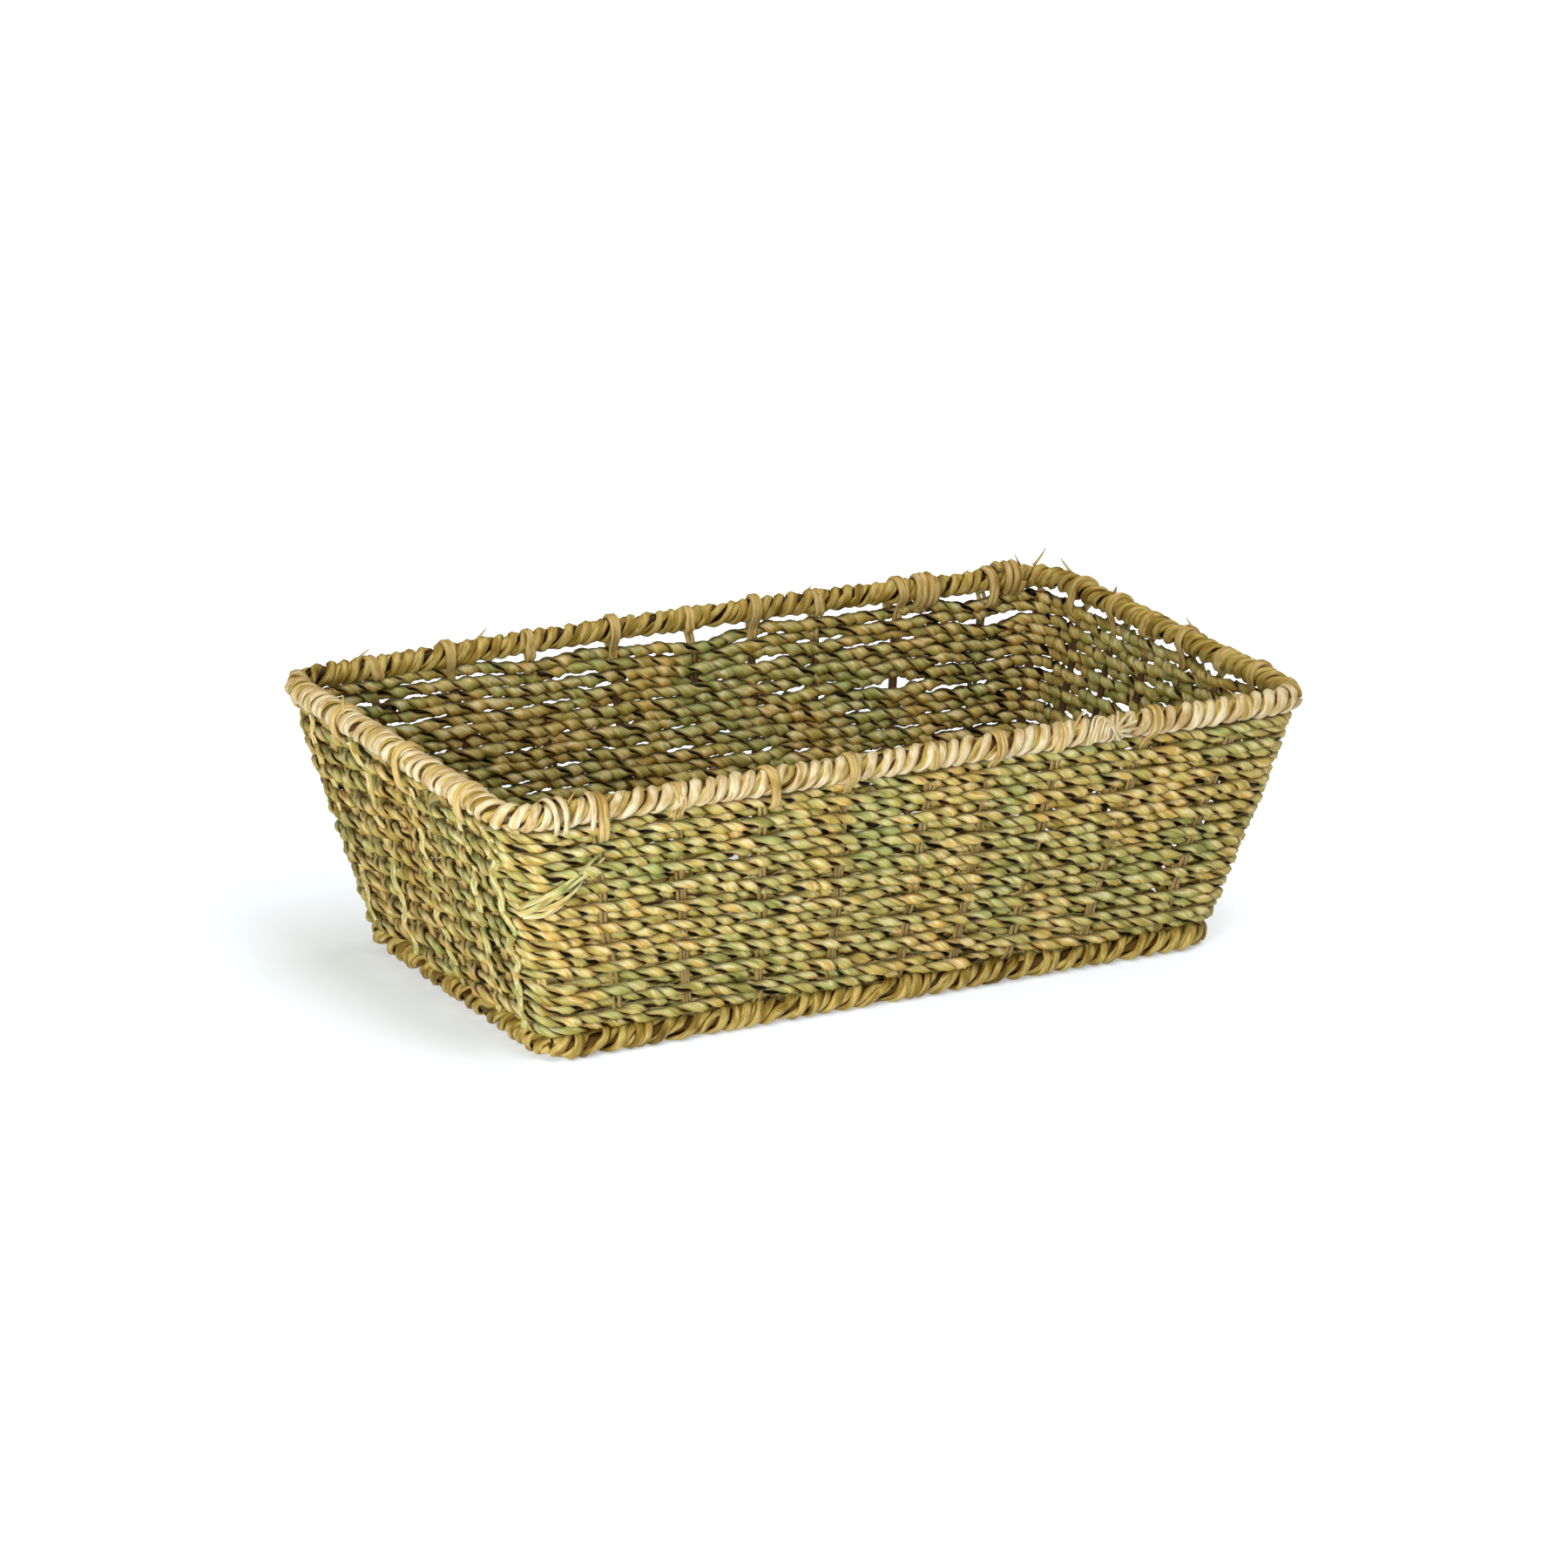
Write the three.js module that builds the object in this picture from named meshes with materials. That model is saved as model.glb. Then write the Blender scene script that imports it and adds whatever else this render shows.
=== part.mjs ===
// A woven rectangular bread basket.
// Rope rows are woven in and out of upright stakes, between a wrapped wire rim and a wrapped wire foot.
// Millimetres, +Z up. +X is the length and -Y is the front.
// The origin is under the middle of the basket, on the surface that it stands on.

import * as THREE from "three";

// ---- driving dimensions ------------------------------------------------------------------------

const RIM = { halfX: 183.5, halfY: 101, corner: 15, z: 111, wrapRadius: 6 };
const FOOT = { halfX: 153.5, halfY: 79.5, corner: 11, z: 5, wrapRadius: 5 };
const GAP = 0.3;

const WIRE_RADIUS = 1.5;
const WRAP_BORE = 2.1;

const ROPE = { height: 4.2, thick: 3.4, swing: 4.2 };
const ROWS = 20;
const FIRST_ROW_Z = 15.8;
const LAST_ROW_Z = 102.5;

const STAKE = { width: 2.6, thick: 1.8 };
const STAKE_FOOT_BEND_Z = 12.8;
const STAKE_HOOK_BEND_Z = 100.7;
const LONG_WALL_STAKES = [-0.8, -0.6, -0.39, -0.18, 0.03, 0.19, 0.36, 0.59, 0.83];
const END_WALL_STAKES = [-0.68, -0.41, -0.14, 0.14, 0.41, 0.68];

const POST_RADIUS = 1.1;
const POST_BOTTOM_Z = 10.9;
const POST_TOP_Z = 104.1;

const BASE_SWING = 3.2;
const BASE_TURN_X = 144;
const BASE_TURN_Z = 3.6;
const BASE_EDGE_Y = 70.6;

const KNOT = { length: 10, thick: 2.2, sweep: 250 };
const KNOTS = [
  { wall: "front", along: 0.48 },
  { wall: "back", along: 0.65 },
  { wall: "back", along: 0.885 },
];

const STRAW = { color: 0xb5a470, roughness: 0.78, metalness: 0 };
const DRY_STRAW = { color: 0xa8935c, roughness: 0.8, metalness: 0 };
const SEAGRASS = { color: 0x8f9660, roughness: 0.75, metalness: 0 };
const TWINE = { color: 0x9c8650, roughness: 0.8, metalness: 0 };
const STEEL = { color: 0x4b4740, roughness: 0.5, metalness: 1 };

const DEGREE = Math.PI / 180;
const CORNER_SIGNS = [[1, 1], [-1, 1], [-1, -1], [1, -1]];

// ---- helpers -----------------------------------------------------------------------------------

const basket = new THREE.Group();

function add(name, geometry, finish) {
  const mesh = new THREE.Mesh(geometry, new THREE.MeshStandardMaterial(finish));
  mesh.name = name;
  basket.add(mesh);
  return mesh;
}

/** The walls' middle surface is a rounded rectangle that widens evenly from the foot to the rim. */
function wallAt(z) {
  const t = (z - FOOT.z) / (RIM.z - FOOT.z);
  return {
    halfX: THREE.MathUtils.lerp(FOOT.halfX, RIM.halfX, t),
    halfY: THREE.MathUtils.lerp(FOOT.halfY, RIM.halfY, t),
    corner: THREE.MathUtils.lerp(FOOT.corner, RIM.corner, t),
  };
}

/** A path through given points, used as they are. One axis of the section keeps to a set direction. */
class PointPath extends THREE.Curve {
  constructor(points, keepAxis, endDirections) {
    super();
    this.points = points;
    this.keepAxis = keepAxis;
    this.endDirections = endDirections;
  }

  getPoint(t, target = new THREE.Vector3()) {
    return target.copy(this.points[Math.round(t * (this.points.length - 1))]);
  }

  getSpacedPoints() {
    return this.points.map((point) => point.clone());
  }

  directionAt(index) {
    const here = this.points[index];
    if (this.endDirections && index === 0) {
      return this.endDirections[0].clone();
    }
    if (this.endDirections && index === this.points.length - 1) {
      return this.endDirections[1].clone();
    }
    const direction = new THREE.Vector3();
    if (index > 0) {
      direction.add(here.clone().sub(this.points[index - 1]).normalize());
    }
    if (index < this.points.length - 1) {
      direction.add(this.points[index + 1].clone().sub(here).normalize());
    }
    return direction.normalize();
  }

  computeFrenetFrames() {
    const tangents = this.points.map((point, index) => this.directionAt(index));
    const normals = tangents.map((tangent) =>
      this.keepAxis.clone().addScaledVector(tangent, -this.keepAxis.dot(tangent)).normalize());
    const binormals = tangents.map((tangent, index) => tangent.clone().cross(normals[index]));
    return { tangents, normals, binormals };
  }
}

/** Sweeps a section along points. The section's x follows keepAxis and its y lies across it. */
function sweep(section, points, keepAxis, endDirections = null) {
  const path = new PointPath(points, keepAxis, endDirections);
  return new THREE.ExtrudeGeometry(section, { steps: points.length - 1, extrudePath: path });
}

function polygonPoints(radius, sides, turn) {
  const points = [];
  for (let i = 0; i < sides; i += 1) {
    const angle = turn + (i * 2 * Math.PI) / sides;
    points.push(new THREE.Vector2(radius * Math.cos(angle), radius * Math.sin(angle)));
  }
  return points;
}

function barSection(width, thick) {
  return new THREE.Shape([
    new THREE.Vector2(-width / 2, -thick / 2),
    new THREE.Vector2(width / 2, -thick / 2),
    new THREE.Vector2(width / 2, thick / 2),
    new THREE.Vector2(-width / 2, thick / 2),
  ]);
}

/** An eight-sided sleeve section with one of its flats facing down, and a bore for the wire. */
function sleeveSection(outerRadius, boreRadius) {
  const section = new THREE.Shape(polygonPoints(outerRadius / Math.cos(Math.PI / 8), 8, Math.PI / 8));
  section.holes.push(new THREE.Path(polygonPoints(boreRadius, 6, 0)));
  return section;
}

/** The centre of a corner's arc on a rounded rectangle, and its radius. */
function cornerArc(frame, [signX, signY]) {
  return {
    x: signX * (frame.halfX - frame.corner),
    y: signY * (frame.halfY - frame.corner),
    radius: frame.corner,
  };
}

function arcPoints(arc, z, startDegrees, endDegrees, steps) {
  const points = [];
  for (let i = 0; i <= steps; i += 1) {
    const angle = THREE.MathUtils.lerp(startDegrees, endDegrees, i / steps) * DEGREE;
    points.push(new THREE.Vector3(
      arc.x + arc.radius * Math.cos(angle),
      arc.y + arc.radius * Math.sin(angle),
      z,
    ));
  }
  return points;
}

// ---- rim and foot: a bent wire inside a wrapped sleeve on each side ------------------------------

/** The wire runs round from the middle of the back to meet its own end there. */
function makeWire(name, edge) {
  const points = [new THREE.Vector3(-GAP / 2, edge.halfY, edge.z)];
  const order = [1, 2, 3, 0];
  for (const corner of order) {
    const start = 90 * corner;
    points.push(...arcPoints(cornerArc(edge, CORNER_SIGNS[corner]), edge.z, start, start + 90, 3));
  }
  points.push(new THREE.Vector3(GAP / 2, edge.halfY, edge.z));
  const section = new THREE.Shape(polygonPoints(WIRE_RADIUS, 6, 0));
  add(name, sweep(section, points, new THREE.Vector3(0, 0, 1)), STEEL);
}

/** One side's wrapping, from the middle of one corner to the middle of the next. */
function makeWrap(name, edge, fromCorner, finish) {
  const toCorner = (fromCorner + 1) % 4;
  const first = cornerArc(edge, CORNER_SIGNS[fromCorner]);
  const second = cornerArc(edge, CORNER_SIGNS[toCorner]);
  const trim = (GAP / edge.corner) / DEGREE;
  const start = 90 * fromCorner + 45 + trim;
  const end = 90 * toCorner + 45 - trim;
  const span = 45 - trim;
  const points = [
    ...arcPoints(first, edge.z, start, start + span, 2),
    ...arcPoints(second, edge.z, end - span, end, 2),
  ];
  const tangents = [start, end].map((degrees) =>
    new THREE.Vector3(-Math.sin(degrees * DEGREE), Math.cos(degrees * DEGREE), 0));
  const section = sleeveSection(edge.wrapRadius, WRAP_BORE);
  add(name, sweep(section, points, new THREE.Vector3(0, 0, 1), tangents), finish);
}

const SIDE_STARTS = { back: 0, left: 1, front: 2, right: 3 };
makeWire("rim_wire", RIM);
makeWire("foot_wire", FOOT);
for (const [side, fromCorner] of Object.entries(SIDE_STARTS)) {
  makeWrap(`rim_wrap_${side}`, RIM, fromCorner, STRAW);
  makeWrap(`foot_wrap_${side}`, FOOT, fromCorner, DRY_STRAW);
}

// ---- corner posts --------------------------------------------------------------------------------

function cornerPoint(z, signs) {
  const arc = cornerArc(wallAt(z), signs);
  return new THREE.Vector3(
    arc.x + signs[0] * arc.radius * Math.SQRT1_2,
    arc.y + signs[1] * arc.radius * Math.SQRT1_2,
    z,
  );
}

const CORNER_NAMES = ["back_right", "back_left", "front_left", "front_right"];
CORNER_SIGNS.forEach((signs, index) => {
  const ends = [cornerPoint(POST_BOTTOM_Z, signs), cornerPoint(POST_TOP_Z, signs)];
  const section = new THREE.Shape(polygonPoints(POST_RADIUS, 8, 0));
  add(`corner_post_${CORNER_NAMES[index]}`, sweep(section, ends, new THREE.Vector3(1, 0, 0)), TWINE);
});

// ---- rope rows, in and out of the stakes ----------------------------------------------------------

/** Whether a row passes outside (1) or inside (-1) an upright. Rows and neighbouring uprights take turns. */
function rowSide(row, upright) {
  return (row + upright) % 2 === 0 ? 1 : -1;
}

/** Points round one face of a row: the rope's middle line moved by `shift`, swinging at each upright. */
function rowOutline(row, z, shift) {
  const wall = wallAt(z);
  const points = [];
  let upright = 0;
  const swing = () => shift + ROPE.swing * rowSide(row, upright);
  const straight = (fractions, place) => {
    for (const fraction of fractions) {
      points.push(place(fraction, swing()));
      upright += 1;
    }
  };
  const bend = (corner) => {
    const arc = cornerArc(wall, CORNER_SIGNS[corner]);
    arc.radius += swing();
    for (const point of arcPoints(arc, 0, 90 * corner, 90 * corner + 90, 2)) {
      points.push(new THREE.Vector2(point.x, point.y));
    }
    upright += 1;
  };
  const backward = (fractions) => [...fractions].reverse();
  bend(0);
  straight(backward(LONG_WALL_STAKES), (f, out) => new THREE.Vector2(f * wall.halfX, wall.halfY + out));
  bend(1);
  straight(backward(END_WALL_STAKES), (f, out) => new THREE.Vector2(-wall.halfX - out, f * wall.halfY));
  bend(2);
  straight(LONG_WALL_STAKES, (f, out) => new THREE.Vector2(f * wall.halfX, -wall.halfY - out));
  bend(3);
  straight(END_WALL_STAKES, (f, out) => new THREE.Vector2(wall.halfX + out, f * wall.halfY));
  return points;
}

function makeRow(row) {
  const z = THREE.MathUtils.lerp(FIRST_ROW_Z, LAST_ROW_Z, (row - 1) / (ROWS - 1));
  const ring = new THREE.Shape(rowOutline(row, z, ROPE.thick / 2));
  ring.holes.push(new THREE.Path(rowOutline(row, z, -ROPE.thick / 2)));
  const geometry = new THREE.ExtrudeGeometry(ring, { depth: ROPE.height, bevelEnabled: false });
  const mesh = add(`weft_row_${String(row).padStart(2, "0")}`, geometry, SEAGRASS);
  mesh.position.z = z - ROPE.height / 2;
}

for (let row = 1; row <= ROWS; row += 1) {
  makeRow(row);
}

// ---- stakes: up one wall, under the base and up the other, hooked over the rim at both ends --------

/** Polar points about a centre, from the tangent of a starting point, on a circle that chords stay outside. */
function wrapAround(centre, clearRadius, from, turn, endDegrees, steps) {
  const dx = from.x - centre.x;
  const dy = from.y - centre.y;
  const radius = clearRadius * 1.05;
  const startAngle = Math.atan2(dy, dx) + turn * Math.acos(radius / Math.hypot(dx, dy));
  let sweepAngle = turn * (endDegrees * DEGREE - startAngle);
  sweepAngle = turn * THREE.MathUtils.euclideanModulo(sweepAngle, 2 * Math.PI);
  const points = [];
  for (let i = 0; i <= steps; i += 1) {
    const angle = startAngle + (sweepAngle * i) / steps;
    points.push(new THREE.Vector2(
      centre.x + radius * Math.cos(angle),
      centre.y + radius * Math.sin(angle),
    ));
  }
  return points;
}

/**
 * One arm of a stake in its wall's own plane, x outward and y up, from the base run to the tip of the
 * hook. The hook goes over the rim on the side that the top row leaves free.
 */
function stakeArm(reach, runZ, side) {
  const foot = new THREE.Vector2(reach(FOOT.z), FOOT.z);
  const rim = new THREE.Vector2(reach(RIM.z), RIM.z);
  const low = new THREE.Vector2(reach(STAKE_FOOT_BEND_Z), STAKE_FOOT_BEND_Z);
  const high = new THREE.Vector2(reach(STAKE_HOOK_BEND_Z), STAKE_HOOK_BEND_Z);
  const footClear = FOOT.wrapRadius / Math.cos(Math.PI / 8) + GAP + STAKE.thick / 2;
  const rimClear = RIM.wrapRadius / Math.cos(Math.PI / 8) + GAP + STAKE.thick / 2;
  const footAngle = 180 - Math.asin((runZ + 1.6 - FOOT.z) / footClear) / DEGREE;
  const down = wrapAround(foot, footClear, low, 1, footAngle, 1);
  const inner = new THREE.Vector2(foot.x - footClear - 1.6, runZ);
  const tip = side > 0 ? 200 : -20;
  const hook = wrapAround(rim, rimClear, high, side, tip, 7);
  return [inner, ...down.reverse(), low, high, ...hook];
}

/** Joins an arm on each of two opposite walls into one U. `place` turns (out, z, side) into a point. */
function makeStake(name, reach, runZ, hookSides, place, widthAxis) {
  const first = stakeArm(reach, runZ, hookSides[0]).map((p) => place(p.x, p.y, -1));
  const second = stakeArm(reach, runZ, hookSides[1]).map((p) => place(p.x, p.y, 1));
  const points = [...first.reverse(), ...second];
  add(name, sweep(barSection(STAKE.width, STAKE.thick), points, widthAxis), TWINE);
}

/** Uprights are counted round the wall in the same order as the rows pass them. */
function uprightNumber(wall, index) {
  const longs = LONG_WALL_STAKES.length;
  const ends = END_WALL_STAKES.length;
  return {
    back: 1 + (longs - 1 - index),
    left: 2 + longs + (ends - 1 - index),
    front: 3 + longs + ends + index,
    right: 4 + 2 * longs + ends + index,
  }[wall];
}

function hookSide(wall, index) {
  return -rowSide(ROWS, uprightNumber(wall, index));
}

/** A stake's place along its wall fans out with the wall. The hook and the base run keep its end values. */
function along(fraction, z, size) {
  const held = THREE.MathUtils.clamp(z, FOOT.z, RIM.z);
  return fraction * wallAt(held)[size];
}

LONG_WALL_STAKES.forEach((fraction, index) => {
  makeStake(
    `cross_stake_${index + 1}`,
    (z) => wallAt(z).halfY,
    FOOT.z,
    [hookSide("front", index), hookSide("back", index)],
    (out, z, side) => new THREE.Vector3(along(fraction, z, "halfX"), side * out, z),
    new THREE.Vector3(1, 0, 0),
  );
});

const LONG_RUN_Z = FOOT.z + STAKE.thick + GAP;
END_WALL_STAKES.forEach((fraction, index) => {
  makeStake(
    `long_stake_${index + 1}`,
    (z) => wallAt(z).halfX,
    LONG_RUN_Z,
    [hookSide("left", index), hookSide("right", index)],
    (out, z, side) => new THREE.Vector3(side * out, along(fraction, z, "halfY"), z),
    new THREE.Vector3(0, 1, 0),
  );
});

// ---- base: one rope laid to and fro, over and under the cross stakes ------------------------------

/** The runs' places across the base, spread evenly in each space between the long stakes. */
function baseRunPlaces() {
  const stakes = END_WALL_STAKES.map((fraction) => fraction * FOOT.halfY);
  const edges = [-BASE_EDGE_Y - STAKE.width / 2, ...stakes, BASE_EDGE_Y + STAKE.width / 2];
  const places = [];
  for (let i = 0; i + 1 < edges.length; i += 1) {
    const low = edges[i] + STAKE.width / 2;
    const high = edges[i + 1] - STAKE.width / 2;
    const count = Math.floor((high - low - GAP) / (ROPE.height + GAP));
    for (let run = 0; run < count; run += 1) {
      places.push(low + ((run + 0.5) * (high - low)) / count);
    }
  }
  return places;
}

function makeBaseRope() {
  const points = [];
  baseRunPlaces().forEach((y, run) => {
    const row = [new THREE.Vector3(-BASE_TURN_X, y, BASE_TURN_Z)];
    LONG_WALL_STAKES.forEach((fraction, index) => {
      const z = FOOT.z + BASE_SWING * rowSide(run, index);
      row.push(new THREE.Vector3(fraction * FOOT.halfX, y, z));
    });
    row.push(new THREE.Vector3(BASE_TURN_X, y, BASE_TURN_Z));
    points.push(...(run % 2 === 0 ? row : row.reverse()));
  });
  const section = barSection(ROPE.thick, ROPE.height);
  add("base_rope", sweep(section, points, new THREE.Vector3(0, 0, 1)), SEAGRASS);
}

makeBaseRope();

// ---- splice knots, saddled over the rim wrapping ---------------------------------------------------

function makeKnot(name, wall, fraction) {
  const inner = RIM.wrapRadius / Math.cos(Math.PI / 8) + GAP + 0.2;
  const half = (KNOT.sweep / 2) * DEGREE;
  const saddle = new THREE.Shape();
  saddle.absarc(0, 0, inner + KNOT.thick, Math.PI / 2 - half, Math.PI / 2 + half, false);
  saddle.absarc(0, 0, inner, Math.PI / 2 + half, Math.PI / 2 - half, true);
  const options = { depth: KNOT.length, bevelEnabled: false, curveSegments: 6 };
  const mesh = add(name, new THREE.ExtrudeGeometry(saddle, options), STRAW);
  mesh.rotation.set(Math.PI / 2, 0, Math.PI / 2, "ZYX");
  const y = wall === "front" ? -RIM.halfY : RIM.halfY;
  mesh.position.set(fraction * RIM.halfX - KNOT.length / 2, y, RIM.z);
}

KNOTS.forEach((knot, index) => makeKnot(`rim_knot_${index + 1}`, knot.wall, knot.along));

export default basket;
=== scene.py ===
"""A woven bread basket: twisted rope rows on upright stakes, between a wrapped rim and a wrapped foot."""

import math

import bpy
from mathutils import Matrix, Vector, noise


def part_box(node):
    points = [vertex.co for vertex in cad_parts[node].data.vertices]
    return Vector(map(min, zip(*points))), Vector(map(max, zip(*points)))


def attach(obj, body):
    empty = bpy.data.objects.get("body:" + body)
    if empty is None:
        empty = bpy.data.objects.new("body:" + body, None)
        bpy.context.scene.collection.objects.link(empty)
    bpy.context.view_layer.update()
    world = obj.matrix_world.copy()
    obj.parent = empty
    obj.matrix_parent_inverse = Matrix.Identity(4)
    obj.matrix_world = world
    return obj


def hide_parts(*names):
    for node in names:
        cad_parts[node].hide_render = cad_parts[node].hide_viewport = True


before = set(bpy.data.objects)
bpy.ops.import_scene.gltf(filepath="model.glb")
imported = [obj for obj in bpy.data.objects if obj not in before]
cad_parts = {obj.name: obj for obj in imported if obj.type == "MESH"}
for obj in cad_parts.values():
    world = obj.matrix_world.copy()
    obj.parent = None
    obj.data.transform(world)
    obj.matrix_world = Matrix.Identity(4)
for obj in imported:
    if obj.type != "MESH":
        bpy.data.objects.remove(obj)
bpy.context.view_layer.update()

MM = 0.001
TURN = 2 * math.pi

# ---- sizes, from the frame ----

HEXAGON_FLAT = math.cos(math.pi / 6)  # a wire is a hexagon in section, with flats above and below
ROWS = 20
CROSS_STAKES = 9
LONG_STAKES = 6


def middle(node):
    low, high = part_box(node)
    return (low + high) / 2


class Edge:
    """The middle line of the rim or the foot: a rounded rectangle at one height."""

    def __init__(self, wire, corner):
        low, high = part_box(wire)
        flat = (high.z - low.z) / 2 * HEXAGON_FLAT
        self.half_x = high.x - flat
        self.half_y = high.y - flat
        self.z = (low.z + high.z) / 2
        self.corner = corner


RIM = Edge("rim_wire", 15 * MM)
FOOT = Edge("foot_wire", 11 * MM)
RIM_RADIUS = 6.0 * MM
STAKE_WIDTH = 2.6 * MM


def blend_number(a, b, t):
    return a + (b - a) * t


def clamp(value, low=0, high=1):
    return min(high, max(low, value))


def wobble(x, y, z):
    """Smooth noise from -1 to 1, the same in every run."""
    return noise.noise(Vector((x, y, z)))


def rise(z):
    """A height as a share of the way from the foot to the rim."""
    return (z - FOOT.z) / (RIM.z - FOOT.z)


def wall_size(z):
    """Half length, half depth and corner radius of the walls' middle surface at height z."""
    t = rise(z)
    return (
        blend_number(FOOT.half_x, RIM.half_x, t),
        blend_number(FOOT.half_y, RIM.half_y, t),
        blend_number(FOOT.corner, RIM.corner, t),
    )


def stake_fraction(node, axis, rim_half):
    """A stake's place along its wall, from -1 to 1, read from where its top end is."""
    low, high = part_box(node)
    far = high[axis] - STAKE_WIDTH / 2
    near = low[axis] + STAKE_WIDTH / 2
    return (far if abs(far) > abs(near) else near) / rim_half


CROSS_PLACES = [stake_fraction(f"cross_stake_{i + 1}", 0, RIM.half_x) for i in range(CROSS_STAKES)]
LONG_PLACES = [stake_fraction(f"long_stake_{i + 1}", 1, RIM.half_y) for i in range(LONG_STAKES)]
CORNER_SIGNS = [(1, 1), (-1, 1), (-1, -1), (1, -1)]


# ---- node trees written as sums ----


class Number:
    """A socket that holds a number. Arithmetic on it adds Math nodes to its tree."""

    def __init__(self, tree, socket):
        self.tree = tree
        self.socket = socket

    def math(self, operation, *others):
        inputs = dict(enumerate((self, *others)))
        return self.tree.number("ShaderNodeMath", {"operation": operation}, inputs)

    def __add__(self, other):
        return self.math("ADD", other)

    __radd__ = __add__

    def __sub__(self, other):
        return self.math("SUBTRACT", other)

    def __rsub__(self, other):
        return self.tree.number("ShaderNodeMath", {"operation": "SUBTRACT"}, {0: other, 1: self})

    def __mul__(self, other):
        return self.math("MULTIPLY", other)

    __rmul__ = __mul__

    def __truediv__(self, other):
        return self.math("DIVIDE", other)


class Tree:
    """Adds nodes to a node tree."""

    def __init__(self, nodes_tree):
        self.nodes_tree = nodes_tree

    def node(self, kind, settings=None, inputs=None):
        made = self.nodes_tree.nodes.new(kind)
        for name, value in (settings or {}).items():
            if name == "stops":
                self.set_stops(made.color_ramp, value)
            else:
                setattr(made, name, value)
        for key, value in (inputs or {}).items():
            self.feed(made.inputs[key], value)
        return made

    def feed(self, socket, value):
        if isinstance(value, Number):
            value = value.socket
        if isinstance(value, bpy.types.NodeSocket):
            self.nodes_tree.links.new(value, socket)
        else:
            socket.default_value = value

    def set_stops(self, ramp, stops):
        while len(ramp.elements) < len(stops):
            ramp.elements.new(1)
        for element, (position, color) in zip(ramp.elements, stops):
            element.position = position
            element.color = (*color, 1)

    def number(self, kind, settings=None, inputs=None, output=0):
        return Number(self, self.node(kind, settings, inputs).outputs[output])

    def value(self, kind, settings=None, inputs=None, output=0):
        return self.node(kind, settings, inputs).outputs[output]

    def vector(self, operation, *parts):
        """A Vector Math node. A number among the parts goes to its scale."""
        made = self.node("ShaderNodeVectorMath", {"operation": operation})
        for index, part in enumerate(parts):
            scales = operation == "SCALE" and index == 1
            self.feed(made.inputs["Scale"] if scales else made.inputs[index], part)
        return made.outputs[0]

    def combine(self, x, y, z):
        return self.value("ShaderNodeCombineXYZ", {}, {0: x, 1: y, 2: z})

    def part(self, vector, axis):
        """One coordinate of a vector."""
        return self.number("ShaderNodeSeparateXYZ", {}, {0: vector}, axis)


# ---- geometry trees ----

RIDGES = 4
RIDGE_HEIGHT = 0.16
STRAND_STEP = 613  # keeps one strand's colours apart from the next one's


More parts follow.
